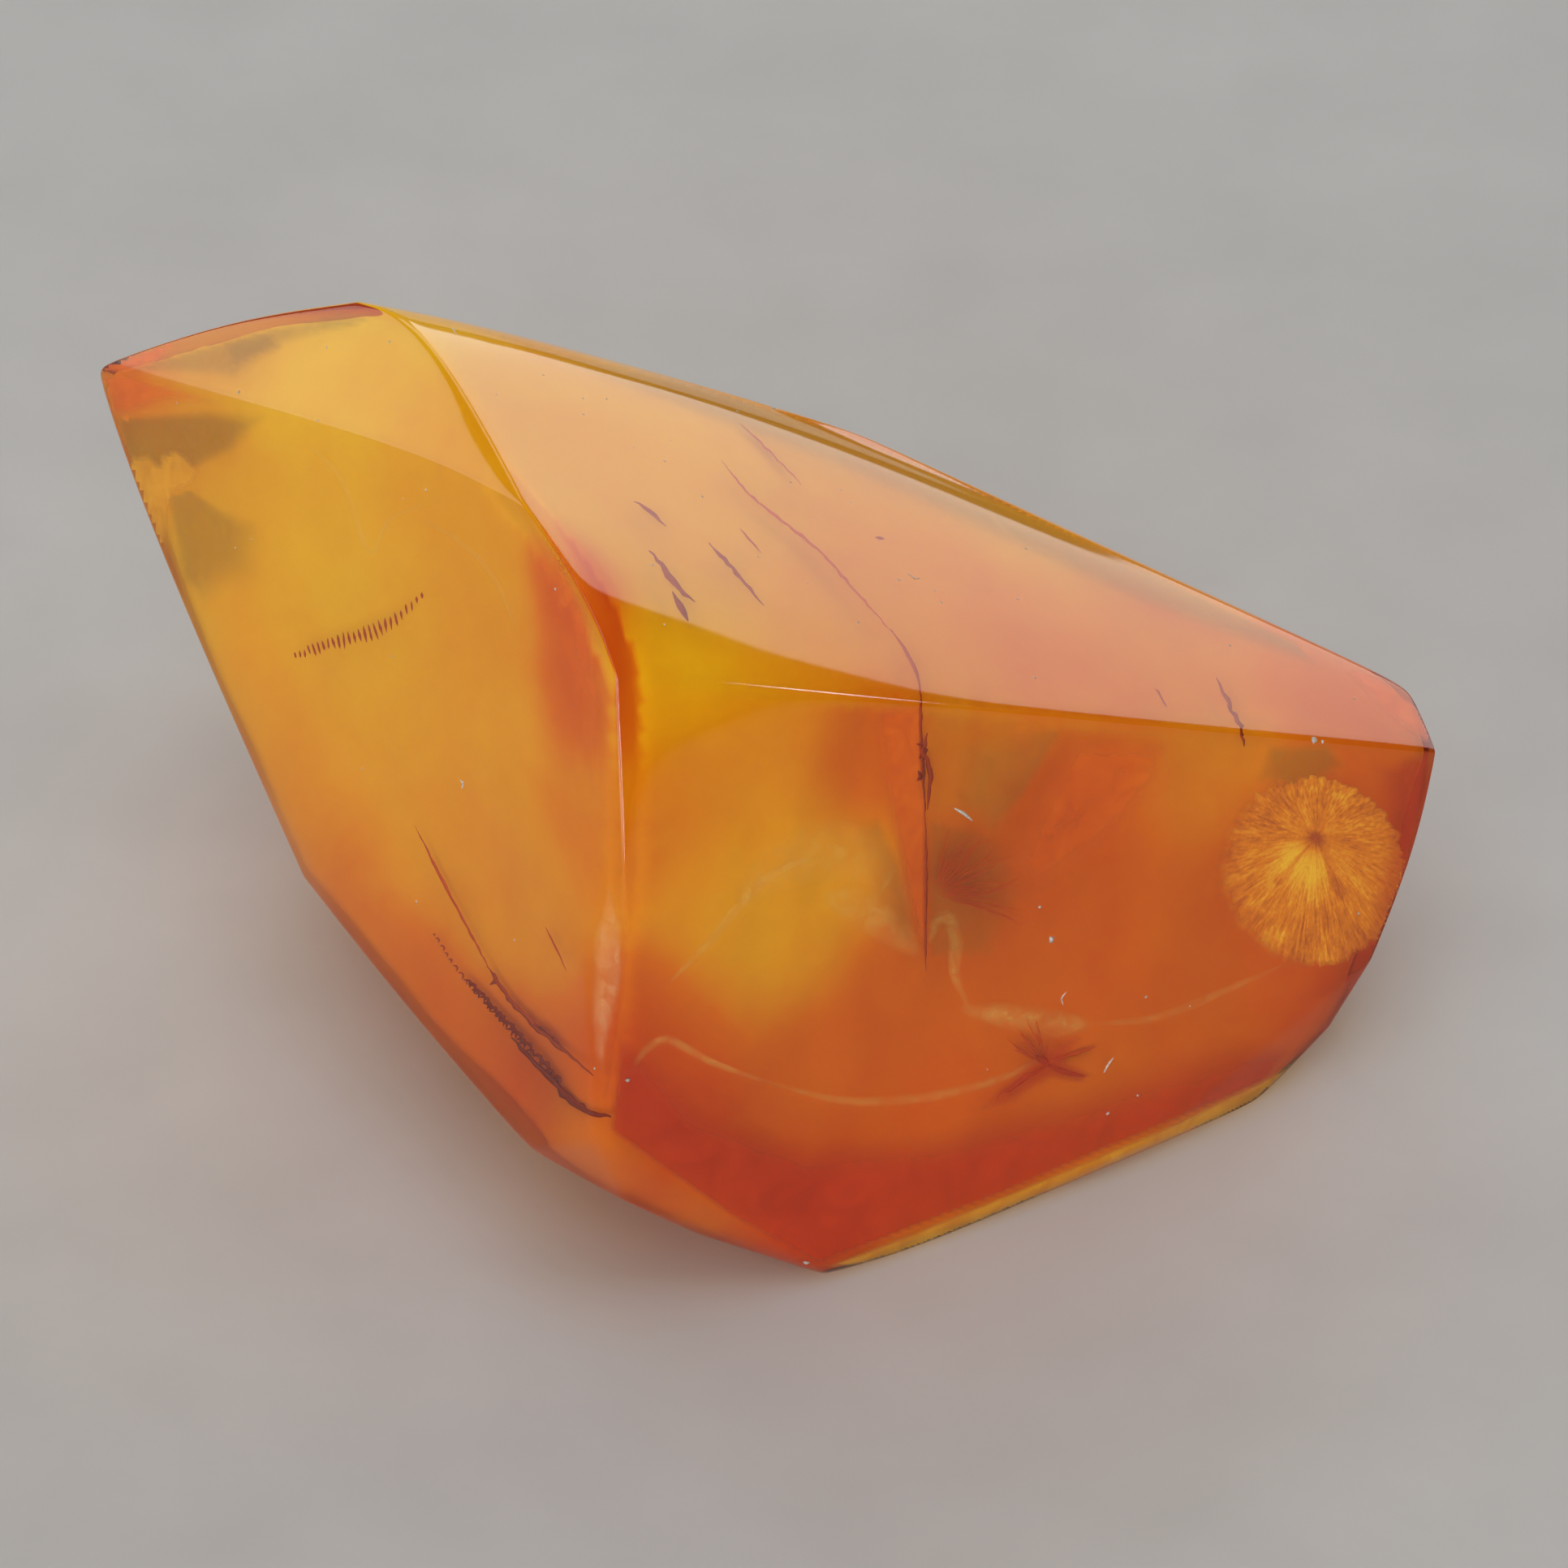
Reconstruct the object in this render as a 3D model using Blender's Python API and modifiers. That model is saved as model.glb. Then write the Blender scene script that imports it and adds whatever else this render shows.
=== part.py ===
"""A polished piece of amber: one chunky hand-ground stone with softly domed facets.

Metres, +Z up. The long way of the stone lies along X, the prow-like ridge where the two
large front facets meet faces -Y, and the stone rests on a small flat facet in the plane
z = 0 with the origin on that facet.
"""

import math

import bmesh
import bpy
from mathutils import Vector

MM = 0.001

NAME = "amber"
COLLECTION = "polished_amber"

# Driving dimensions in millimetres. The stone is the hull of these corners, each where
# three or more ground facets meet, and then its ridges are rounded and polished.
TOP_CORNERS = {
    "left_tip": (-26.7, 16.05, 18.5),
    "left_ridge_high": (-14.4, 0.9, 26.9),
    "brow": (-9.9, -4.8, 28.8),
    "brow_turn": (-8.6, -6.9, 28.3),
    "brow_bend": (-7.5, -8.7, 27.6),
    "prow": (-6.5, -10.6, 26.05),
    "right_ridge": (4.5, -5.7, 21.5),
    "right_tip": (23.6, 5.1, 11.6),
    "right_tip_top": (22.6, 7.9, 12.3),
    "crest_left": (-14.1, 5.5, 29.4),
    "crest_middle": (-2.3, 6.5, 24.4),
}
BACK_CORNERS = {
    "left_shoulder": (-21.35, 12.4, 23.75),
    "top_left": (-16.7, 8.6, 27.6),
    "back_brow_left": (-10.6, 8.4, 26.6),
    "back_brow": (1.0, 9.9, 21.9),
    "back_brow_right": (18.3, 9.3, 13.4),
    "back_belly_left": (-11.0, 18.0, 12.0),
    "back_belly": (2.0, 17.6, 9.0),
    "back_belly_right": (13.0, 13.6, 6.5),
    "back_left_edge": (-22.3, 16.8, 10.8),
}
FRONT_CORNERS = {
    "left_edge_high": (-24.25, 10.7, 14.9),
    "left_knee": (-17.9, 0.1, 7.4),
    "left_keel": (-13.9, -6.3, 6.8),
    "chin_left": (-9.2, -13.0, 6.1),
    "chin": (-6.5, -15.8, 9.0),
    "prow_middle": (-5.95, -13.2, 20.1),
    "prow_low": (-5.6, -14.3, 16.2),
    "lens_left": (-7.2, -13.7, 14.8),
    "chin_under": (-5.5, -14.7, 5.1),
    "keel_front": (-2.5, -13.5, 2.5),
    "front_foot_top": (1.7, -13.1, 1.0),
    "strip_right": (13.1, -5.7, 1.0),
    "right_edge_low": (20.1, 0.3, 2.1),
    "right_edge": (21.65, 1.5, 4.7),
    "right_edge_high": (23.05, 3.55, 8.3),
    "right_back_foot": (20.2, 6.4, 3.5),
}
BASE_CORNERS = {
    "foot_front": (1.8, -12.4, 0.0),
    "foot_front_right": (5.0, -10.8, 0.0),
    "foot_right": (17.6, -1.6, 0.0),
    "foot_right_back": (18.8, 6.0, 0.0),
    "foot_back_right": (11.0, 13.0, 0.0),
    "foot_back": (0.0, 16.4, 0.0),
    "foot_back_left": (-11.0, 15.6, 0.0),
    "foot_left": (-15.0, 11.8, 0.0),
}

# Worn folds stay unbevelled, so that the polish fades them out between two facets.
SOFT_FOLDS = (("brow_bend", "right_ridge"),)

FLAT_ANGLE = math.radians(4)
RIDGE_ANGLE = math.radians(13)
RIDGE_WIDTH = 0.45
RIDGE_SEGMENTS = 2
POLISH_LEVELS = 2
SAME_POINT = 1e-7

AMBER_COLOUR = (0.80, 0.28, 0.02, 1.0)
AMBER_ROUGHNESS = 0.08
AMBER_IOR = 1.54


def clear_scene():
    """Remove every object of the open scene."""
    for found in list(bpy.data.objects):
        bpy.data.objects.remove(found, do_unlink=True)


def amber_material():
    """Clear honey-orange resin, polished."""
    material = bpy.data.materials.new("polished_amber")
    material.use_nodes = True
    shader = material.node_tree.nodes["Principled BSDF"]
    shader.inputs["Base Color"].default_value = AMBER_COLOUR
    shader.inputs["Roughness"].default_value = AMBER_ROUGHNESS
    shader.inputs["Metallic"].default_value = 0.0
    shader.inputs["IOR"].default_value = AMBER_IOR
    shader.inputs["Transmission Weight"].default_value = 1.0
    return material


def corner_points():
    """Every named corner in metres."""
    points = {}
    for group in (TOP_CORNERS, BACK_CORNERS, FRONT_CORNERS, BASE_CORNERS):
        for name, corner in group.items():
            points[name] = Vector(corner) * MM
    return points


def ground_block(bm, points):
    """Fill bm with the hull of the corners, its nearly flat neighbours joined."""
    for point in points.values():
        bm.verts.new(point)
    bmesh.ops.convex_hull(bm, input=bm.verts[:])
    inside = [v for v in bm.verts if not v.link_faces]
    bmesh.ops.delete(bm, geom=inside, context="VERTS")
    bmesh.ops.dissolve_limit(
        bm, angle_limit=FLAT_ANGLE, verts=bm.verts[:], edges=bm.edges[:]
    )
    bmesh.ops.recalc_face_normals(bm, faces=bm.faces[:])


def joins(edge, first, second):
    """True where the edge runs between the two points, either way round."""
    start, end = (v.co for v in edge.verts)
    along = (start - first).length + (end - second).length
    against = (start - second).length + (end - first).length
    return min(along, against) < SAME_POINT


def round_ridges(bm, points):
    """Bevel each real ridge, so that the polish leaves it narrow and round."""
    soft = [(points[first], points[second]) for first, second in SOFT_FOLDS]
    ridges = []
    for edge in bm.edges:
        worn = any(joins(edge, first, second) for first, second in soft)
        if edge.calc_face_angle() > RIDGE_ANGLE and not worn:
            ridges.append(edge)
    bmesh.ops.bevel(
        bm,
        geom=ridges,
        offset=RIDGE_WIDTH * MM,
        offset_type="OFFSET",
        segments=RIDGE_SEGMENTS,
        profile=0.5,
        affect="EDGES",
        clamp_overlap=True,
    )


def keep_base_flat(bm):
    """Crease the rim of the base facet, which the stone rests on."""
    crease = bm.edges.layers.float.new("crease_edge")
    for edge in bm.edges:
        resting = [
            face
            for face in edge.link_faces
            if all(abs(v.co.z) < SAME_POINT for v in face.verts)
        ]
        if len(resting) == 1:
            edge[crease] = 1.0


def build_amber(collection):
    """The stone: hull, rounded ridges, then Subdivision Surface as the polish."""
    points = corner_points()
    bm = bmesh.new()
    ground_block(bm, points)
    round_ridges(bm, points)
    keep_base_flat(bm)
    mesh = bpy.data.meshes.new(NAME)
    bm.to_mesh(mesh)
    bm.free()
    mesh.shade_smooth()
    stone = bpy.data.objects.new(NAME, mesh)
    collection.objects.link(stone)
    polish = stone.modifiers.new("Polish", "SUBSURF")
    polish.levels = POLISH_LEVELS
    polish.render_levels = POLISH_LEVELS
    polish.use_limit_surface = True
    stone.data.materials.append(amber_material())
    return stone


def main():
    clear_scene()
    collection = bpy.data.collections.new(COLLECTION)
    bpy.context.scene.collection.children.link(collection)
    build_amber(collection)


if __name__ == "__main__":
    main()
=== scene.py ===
"""The looks of a hand-polished piece of natural amber.

The clear resin is one see-through solid with the ground facets of the frame's stone. Milky
clouds, stress discs, tension cracks and wisps lie inside it, each where the photograph's camera
sees it through the facets, and dust lies on it. Metres, +Z up, the frame's own axes.
"""

import logging
import math
import random
from dataclasses import dataclass, field
from enum import Enum
from typing import Any, Sequence

import bmesh
import bpy
import numpy as np
from mathutils import Matrix, Vector, noise
from mathutils.bvhtree import BVHTree


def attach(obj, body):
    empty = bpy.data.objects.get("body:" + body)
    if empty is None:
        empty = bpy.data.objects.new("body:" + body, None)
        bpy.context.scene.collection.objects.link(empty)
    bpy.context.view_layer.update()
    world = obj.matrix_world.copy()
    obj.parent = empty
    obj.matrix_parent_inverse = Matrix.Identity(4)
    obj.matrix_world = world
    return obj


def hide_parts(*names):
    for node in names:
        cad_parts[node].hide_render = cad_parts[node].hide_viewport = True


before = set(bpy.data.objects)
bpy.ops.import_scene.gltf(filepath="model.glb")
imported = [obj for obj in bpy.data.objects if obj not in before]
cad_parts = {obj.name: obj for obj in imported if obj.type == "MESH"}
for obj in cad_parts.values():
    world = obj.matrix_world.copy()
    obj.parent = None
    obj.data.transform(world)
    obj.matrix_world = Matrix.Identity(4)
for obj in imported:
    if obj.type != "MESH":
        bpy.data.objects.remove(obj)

MM = 0.001
BODY = "root"
STONE_NODE = "amber"

Pixel = tuple[float, float]
Point = tuple[float, float, float]
Range = tuple[float, float]
Tree = bpy.types.NodeTree
Socket = bpy.types.NodeSocket

TINY = 1e-9

log = logging.getLogger("amber")


def linear(hex_colour: str) -> tuple[float, float, float, float]:
    """Turn an sRGB hex colour into linear light.

    Args:
        hex_colour: Six hex digits after a hash sign.

    Returns:
        Red, green, blue and an alpha of 1.
    """
    parts = [int(hex_colour[i : i + 2], 16) / 255 for i in (1, 3, 5)]
    light = [p / 12.92 if p <= 0.04045 else ((p + 0.055) / 1.055) ** 2.4 for p in parts]
    return (light[0], light[1], light[2], 1.0)


def add_node(
    tree: Tree,
    kind: str,
    links: dict[Any, Socket] | None = None,
    values: dict[Any, Any] | None = None,
    **settings: Any,
) -> bpy.types.Node:
    """Add one shader node.

    Args:
        tree: The node tree that takes it.
        kind: The node's type name.
        links: Input name or number to the output socket that feeds it.
        values: Input name or number to its plain value.
        settings: The node's own properties.

    Returns:
        The new node.
    """
    node = tree.nodes.new(kind)
    for name, value in settings.items():
        setattr(node, name, value)
    for key, value in (values or {}).items():
        node.inputs[key].default_value = value
    for key, socket in (links or {}).items():
        tree.links.new(socket, node.inputs[key])
    return node


def pattern(
    tree: Tree,
    size_mm: float,
    detail: float,
    distortion: float = 0.0,
    place_in: Socket | None = None,
) -> Socket:
    """Make a soft random pattern that is fixed to the piece.

    Args:
        tree: The node tree that takes it.
        size_mm: The size of its patches.
        detail: How many finer layers it has.
        distortion: How much it swirls.
        place_in: The coordinates to use in place of the piece's own.

    Returns:
        The pattern's value, 0 to 1.
    """
    if place_in is None:
        place_in = add_node(tree, "ShaderNodeTexCoord").outputs["Object"]
    node = add_node(
        tree,
        "ShaderNodeTexNoise",
        links={"Vector": place_in},
        values={"Scale": 1 / (size_mm * MM), "Detail": detail, "Distortion": distortion},
    )
    return node.outputs["Fac"]


def mesh_value(tree: Tree, name: str) -> Socket:
    """Read one of the values that the mesh holds at its points."""
    node = add_node(tree, "ShaderNodeAttribute", attribute_name=name, attribute_type="GEOMETRY")
    return node.outputs["Fac"]


def calculate(tree: Tree, operation: str, *terms: Socket | float, clamp: bool = False) -> Socket:
    """Work out a value from other values.

    Args:
        tree: The node tree that takes it.
        operation: The sum to do, by Blender's name.
        terms: Its terms in order, each a socket or a plain number.
        clamp: Whether the result is kept from 0 to 1.

    Returns:
        The result.
    """
    links = {i: term for i, term in enumerate(terms) if isinstance(term, Socket)}
    values = {i: term for i, term in enumerate(terms) if i not in links}
    node = add_node(
        tree, "ShaderNodeMath", links=links, values=values, operation=operation, use_clamp=clamp
    )
    return node.outputs["Value"]


def solid_body(
    tree: Tree, colour: Socket, roughness: float, gloss: float, **links: Socket
) -> Socket:
    """Make a body without metal or clear parts.

    Args:
        tree: The node tree that takes it.
        colour: Its colour.
        roughness: How dull it is.
        gloss: How strongly its surface mirrors.
        links: Further inputs of the shader, such as Alpha, and what feeds them.

    Returns:
        The shader.
    """
    node = add_node(
        tree,
        "ShaderNodeBsdfPrincipled",
        links={"Base Color": colour, **links},
        values={"Roughness": roughness, "Specular IOR Level": gloss},
    )
    return node.outputs["BSDF"]


def mixed(tree: Tree, share: Socket, first: Socket, second: Socket) -> Socket:
    """Mix two shaders by the second one's share."""
    node = add_node(tree, "ShaderNodeMixShader", links={0: share, 1: first, 2: second})
    return node.outputs["Shader"]


def ramp(
    tree: Tree,
    fac: Socket,
    stops: Sequence[tuple[float, tuple[float, float, float, float]]],
) -> Socket:
    """Colour a value by a ramp.

    Args:
        tree: The node tree that takes it.
        fac: The value to colour.
        stops: Positions and linear colours, lowest first.

    Returns:
        The ramp's colour output.
    """
    node = add_node(tree, "ShaderNodeValToRGB", links={"Fac": fac})
    band = node.color_ramp
    band.elements[0].position, band.elements[1].position = stops[0][0], stops[-1][0]
    band.elements[0].color, band.elements[1].color = stops[0][1], stops[-1][1]
    for position, colour in stops[1:-1]:
        band.elements.new(position).color = colour
    return node.outputs["Color"]


def let_light_past(tree: Tree, body: Socket) -> Socket:
    """Let light through a finish without a shadow, as clear resin does.

    Args:
        tree: The node tree that takes it.
        body: The finish's own shader output.

    Returns:
        The shader output to use in its place.
    """
    path = add_node(tree, "ShaderNodeLightPath")
    passing = add_node(tree, "ShaderNodeBsdfTransparent")
    return mixed(tree, path.outputs["Is Shadow Ray"], body, passing.outputs["BSDF"])


def place(piece: bpy.types.Object, material: bpy.types.Material) -> None:
    """Link a finished piece, dress it and fix it to the stone's body.

    Args:
        piece: The piece, in place in the frame.
        material: Its finish.
    """
    bpy.context.scene.collection.objects.link(piece)
    piece.data.materials.clear()
    piece.data.materials.append(material)
    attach(piece, BODY)
    log.info("%s: %d faces, %s", piece.name, len(piece.data.polygons), material.name)


def evaluated_mesh(source: bpy.types.Object) -> bpy.types.Mesh:
    """Bake an object's modifiers or curve into a mesh, and remove the object.

    Args:
        source: An object that isn't linked to the scene yet.

    Returns:
        The finished mesh.
    """
    bpy.context.scene.collection.objects.link(source)
    depsgraph = bpy.context.evaluated_depsgraph_get()
    mesh = bpy.data.meshes.new_from_object(source.evaluated_get(depsgraph))
    bpy.data.objects.remove(source)
    return mesh


@dataclass(frozen=True)
class PhotoView:
    """The photograph's camera: a pinhole that looks down over the front of the stone."""

    image_size: int = 1932
    mm_per_pixel: float = 0.030
    focal_pixels: float = 16800.0
    elevation_deg: float = 40.0
    roll_deg: float = 2.4
    origin_pixel: Pixel = (966.0, 1300.0)
    sensor_mm: float = 36.0

    @property
    def back(self) -> Vector:
        """Unit way from the frame's origin to the camera."""
        tilt = math.radians(self.elevation_deg)
        return Vector((0.0, -math.cos(tilt), math.sin(tilt)))

    @property
    def location(self) -> Vector:
        """The pinhole's place."""
        return self.back * (self.focal_pixels * self.mm_per_pixel * MM)

    @property
    def axes(self) -> tuple[Vector, Vector, Vector]:
        """The picture's right and up, and the way that the camera looks."""
        right = Vector((1.0, 0.0, 0.0))
        up = self.back.cross(right)
        turn = math.radians(self.roll_deg)
        picture_right = right * math.cos(turn) + up * math.sin(turn)
        picture_up = up * math.cos(turn) - right * math.sin(turn)
        lift = self.origin_pixel[1] - self.image_size / 2
        forward = (picture_up * lift - self.back * self.focal_pixels).normalized()
        return picture_right, picture_right.cross(forward), forward

    def ray(self, pixel: Pixel) -> Vector:
        """Unit way from the pinhole through a pixel of the photograph."""
        right, up, forward = self.axes
        across = pixel[0] - self.image_size / 2
        rise = self.image_size / 2 - pixel[1]
        return (forward * self.focal_pixels + right * across + up * rise).normalized()

    def add_camera(self) -> bpy.types.Object:
        """Make the scene's camera.

        Returns:
            The camera object.
        """
        data = bpy.data.cameras.new("photo_camera")
        data.sensor_width = self.sensor_mm
        data.lens = self.sensor_mm * self.focal_pixels / self.image_size
        data.clip_start = 0.01
        data.clip_end = 20.0
        camera = bpy.data.objects.new("photo_camera", data)
        right, up, forward = self.axes
        turn = Matrix((right, up, -forward)).transposed().to_4x4()
        camera.matrix_world = Matrix.Translation(self.location) @ turn
        bpy.context.scene.collection.objects.link(camera)
        bpy.context.scene.camera = camera
        return camera


VIEW = PhotoView()


class Finish:
    """A real material's finish, which is built from shader nodes."""

    name: str

    def shaders(self, tree: Tree) -> dict[str, Socket]:
        """Build the finish's shaders.

        Args:
            tree: The material's empty node tree.

        Returns:
            Each shader, by the name of the output's input that it feeds.
        """
        raise NotImplementedError

    def material(self) -> bpy.types.Material:
        """Build the finish as a material.

        Returns:
            The material.
        """
        material = bpy.data.materials.new(self.name)
        material.use_nodes = True
        tree = material.node_tree
        tree.nodes.clear()
        add_node(tree, "ShaderNodeOutputMaterial", links=self.shaders(tree))
        return material


@dataclass(frozen=True)
class ClearResin(Finish):
    """Fossil resin, ground flat by hand and polished with chalk.

    To the eye it is a deep honey glass: blue is gone within a millimetre, green fades over a
    few, and red passes all the way, so thin places are yellow and thick ones orange to red.
    """

    name: str = "polished_fossil_resin"
    ior: float = 1.54
    roughness: float = 0.06
    lost_per_mm: tuple[float, float, float] = (0.018, 0.085, 0.75)
    scratch_mm: float = 0.25
    scratch_depth: float = 0.02
    scratch_height_mm: float = 0.01
    scratch_turn: Point = (0.0, 0.4, 0.5)
    scratch_stretch: Point = (0.06, 1.0, 1.0)

    def shaders(self, tree: Tree) -> dict[str, Socket]:
        """Build the polish and the honey glass, which lets light straight in to the clouds."""
        place_in = add_node(tree, "ShaderNodeTexCoord").outputs["Object"]
        stretch = add_node(
            tree,
            "ShaderNodeMapping",
            links={"Vector": place_in},
            values={"Rotation": self.scratch_turn, "Scale": self.scratch_stretch},
        )
        hairlines = pattern(tree, self.scratch_mm, 2.0, place_in=stretch.outputs["Vector"])
        bump = add_node(
            tree,
            "ShaderNodeBump",
            links={"Height": hairlines},
            values={"Strength": self.scratch_depth, "Distance": self.scratch_height_mm * MM},
        )
        glass = add_node(
            tree,
            "ShaderNodeBsdfPrincipled",
            links={"Normal": bump.outputs["Normal"]},
            values={
                "Base Color": (1.0, 1.0, 1.0, 1.0),
                "Roughness": self.roughness,
                "IOR": self.ior,
                "Transmission Weight": 1.0,
            },
        )
        density = max(self.lost_per_mm)
        kept = [1 - lost / density for lost in self.lost_per_mm]
        volume = add_node(
            tree,
            "ShaderNodeVolumeAbsorption",
            values={"Color": (*kept, 1.0), "Density": density / MM},
        )
        surface = let_light_past(tree, glass.outputs["BSDF"])
        return {"Surface": surface, "Volume": volume.outputs["Volume"]}


@dataclass(frozen=True)
class MilkyResin(Finish):
    """Resin full of microscopic bubbles, which makes it a soft opaque yellow.

    To the eye it is a cloud: no gloss of its own, butter yellow where it is fresh and orange to
    red where it has aged, with paler and deeper patches that run into each other.
    """

    name: str = "milky_bubbled_resin"
    fresh: str = "#FAD438"
    aged: str = "#E8860C"
    reddened: str = "#C82E00"
    patch_mm: float = 6.0
    wisp_mm: float = 1.4
    wispiness: float = 0.25
    patchiness: float = 0.35
    lets_past: float = 0.45
    light_in_shadow: str = "#F09030"

    def shaders(self, tree: Tree) -> dict[str, Socket]:
        """Build the cloud, which reads the mesh's warmth and lets some light through."""
        patches = pattern(tree, self.patch_mm, 3.0, 0.6)
        wisps = pattern(tree, self.wisp_mm, 4.0, 1.2)
        blend = add_node(
            tree, "ShaderNodeMix", links={2: patches, 3: wisps}, values={0: self.wispiness}
        )
        centred = calculate(tree, "SUBTRACT", blend.outputs[0], 0.5)
        warmth = mesh_value(tree, "warmth")
        mottled = calculate(
            tree, "MULTIPLY_ADD", centred, self.patchiness, warmth, clamp=True
        )
        colour = ramp(
            tree,
            mottled,
            ((0.0, linear(self.fresh)), (0.5, linear(self.aged)), (1.0, linear(self.reddened))),
        )
        body = solid_body(tree, colour, 0.9, 0.0)
        path = add_node(tree, "ShaderNodeLightPath")
        let_past = calculate(tree, "MULTIPLY", path.outputs["Is Shadow Ray"], self.lets_past)
        glow = add_node(
            tree, "ShaderNodeBsdfTransparent", values={"Color": linear(self.light_in_shadow)}
        )
        return {"Surface": mixed(tree, let_past, body, glow.outputs["BSDF"])}


@dataclass
class Stone:
    """The ground and polished solid, built as the frame's own stone is and four times finer."""

    corners_mm: dict[str, Point]
    soft_folds: tuple[tuple[str, str], ...] = (("brow_bend", "right_ridge"),)
    flat_angle_deg: float = 4.0
    ridge_angle_deg: float = 13.0
    ridge_width_mm: float = 0.45
    ridge_segments: int = 2
    polish_levels: int = 4
    same_point_mm: float = 1e-4
    finish: ClearResin = field(default_factory=ClearResin)
    tree: BVHTree | None = None

    def is_worn(self, edge: bmesh.types.BMEdge) -> bool:
        """Tell whether an edge is one of the folds that the polish has faded out."""
        start, end = (v.co for v in edge.verts)
        for first, second in self.soft_folds:
            one = Vector(self.corners_mm[first]) * MM
            other = Vector(self.corners_mm[second]) * MM
            along = (start - one).length + (end - other).length
            against = (start - other).length + (end - one).length
            if min(along, against) < self.same_point_mm * MM:
                return True
        return False

    def cage(self) -> bpy.types.Mesh:
        """Build the stone before its last polish.

        Returns:
            The hull of the corners with rounded ridges and a creased base rim.
        """
        bm = bmesh.new()
        for corner in self.corners_mm.values():
            bm.verts.new(Vector(corner) * MM)
        bmesh.ops.convex_hull(bm, input=bm.verts[:])
        inside = [v for v in bm.verts if not v.link_faces]
        bmesh.ops.delete(bm, geom=inside, context="VERTS")
        bmesh.ops.dissolve_limit(
            bm, angle_limit=math.radians(self.flat_angle_deg), verts=bm.verts[:], edges=bm.edges[:]
        )
        bmesh.ops.recalc_face_normals(bm, faces=bm.faces[:])
        least = math.radians(self.ridge_angle_deg)
        ridges = [e for e in bm.edges if e.calc_face_angle() > least and not self.is_worn(e)]
        bmesh.ops.bevel(
            bm,
            geom=ridges,
            offset=self.ridge_width_mm * MM,
            offset_type="OFFSET",
            segments=self.ridge_segments,
            profile=0.5,
            affect="EDGES",
            clamp_overlap=True,
        )
        crease = bm.edges.layers.float.new("crease_edge")
        flat = self.same_point_mm * MM
        for edge in bm.edges:
            resting = [f for f in edge.link_faces if all(abs(v.co.z) < flat for v in f.verts)]
            if len(resting) == 1:
                edge[crease] = 1.0
        mesh = bpy.data.meshes.new("clear_amber")
        bm.to_mesh(mesh)
        bm.free()
        mesh.shade_smooth()
        return mesh

    def build(self) -> bpy.types.Object:
        """Build the see-through solid in place of the frame's stone.

        Returns:
            The piece.
        """
        rough = bpy.data.objects.new("rough_amber", self.cage())
        polish = rough.modifiers.new("Polish", "SUBSURF")
        polish.levels = self.polish_levels
        polish.render_levels = self.polish_levels
        polish.use_limit_surface = True
        piece = bpy.data.objects.new("clear_amber", evaluated_mesh(rough))
        place(piece, self.finish.material())
        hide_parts(STONE_NODE)
        self.tree = BVHTree.FromPolygons(
            [v.co.copy() for v in piece.data.vertices],
            [tuple(p.vertices) for p in piece.data.polygons],
        )
        return piece

    def surface_at(self, pixel: Pixel) -> tuple[Vector, Vector]:
        """Find where a pixel of the photograph meets the stone.

        Args:
            pixel: A pixel inside the stone's outline.

        Returns:
            The point on the surface and the outward normal there.
        """
        hit, normal, _, _ = self.tree.ray_cast(VIEW.location, VIEW.ray(pixel))
        return hit, normal

    def way_in(self, pixel: Pixel) -> tuple[Vector, Vector, Vector]:
        """Follow a pixel's sight line through the surface.

        Args:
            pixel: A pixel inside the stone's outline.

        Returns:
            The point on the surface, the outward normal there, and the refracted way inside.
        """
        hit, normal = self.surface_at(pixel)
        sight = VIEW.ray(pixel)
        bend = 1 / self.finish.ior
        facing = -normal.dot(sight)
        through = math.sqrt(1 - bend * bend * (1 - facing * facing))
        return hit, normal, sight * bend + normal * (bend * facing - through)

    def inside(self, pixel: Pixel, depth_mm: float) -> Vector:
        """Find the point that a pixel shows at a depth below the surface, along the sight line."""
        hit, _, way = self.way_in(pixel)
        return hit + way * (depth_mm * MM)

    def pulled_in(self, pixel: Pixel, home: Pixel, step_px: float = 2.0) -> Pixel:
        """Move a pixel towards another until it lies on the stone.

        Args:
            pixel: A pixel that may lie just outside the outline.
            home: A pixel inside it.
            step_px: The length of one move.

        Returns:
            The moved pixel, one step further in where it had to move.
        """
        spot, goal = Vector(pixel), Vector(home)
        way = (goal - spot).normalized() * step_px
        moved = False
        while self.surface_at((spot.x, spot.y))[0] is None:
            spot += way
            moved = True
        return (spot.x + way.x, spot.y + way.y) if moved else (spot.x, spot.y)


class Inclusion:
    """Something in or on the stone that is built as one piece."""

    def build(self, stone: Stone) -> bpy.types.Object:
        """Build the piece.

        Args:
            stone: The stone that it belongs to.

        Returns:
            The piece.
        """
        raise NotImplementedError


@dataclass(frozen=True)
class Spot:
    """How deep the milky heart lies below one place on the stone, and how reddened it is."""

    pixel: Pixel
    depth_mm: float
    warmth: float
    reach_mm: float = 2.5


@dataclass(frozen=True)
class BackSpot:
    """The same for a place on the side that the photograph doesn't show."""

    place_mm: Point
    depth_mm: float
    warmth: float
    reach_mm: float = 4.0


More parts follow.
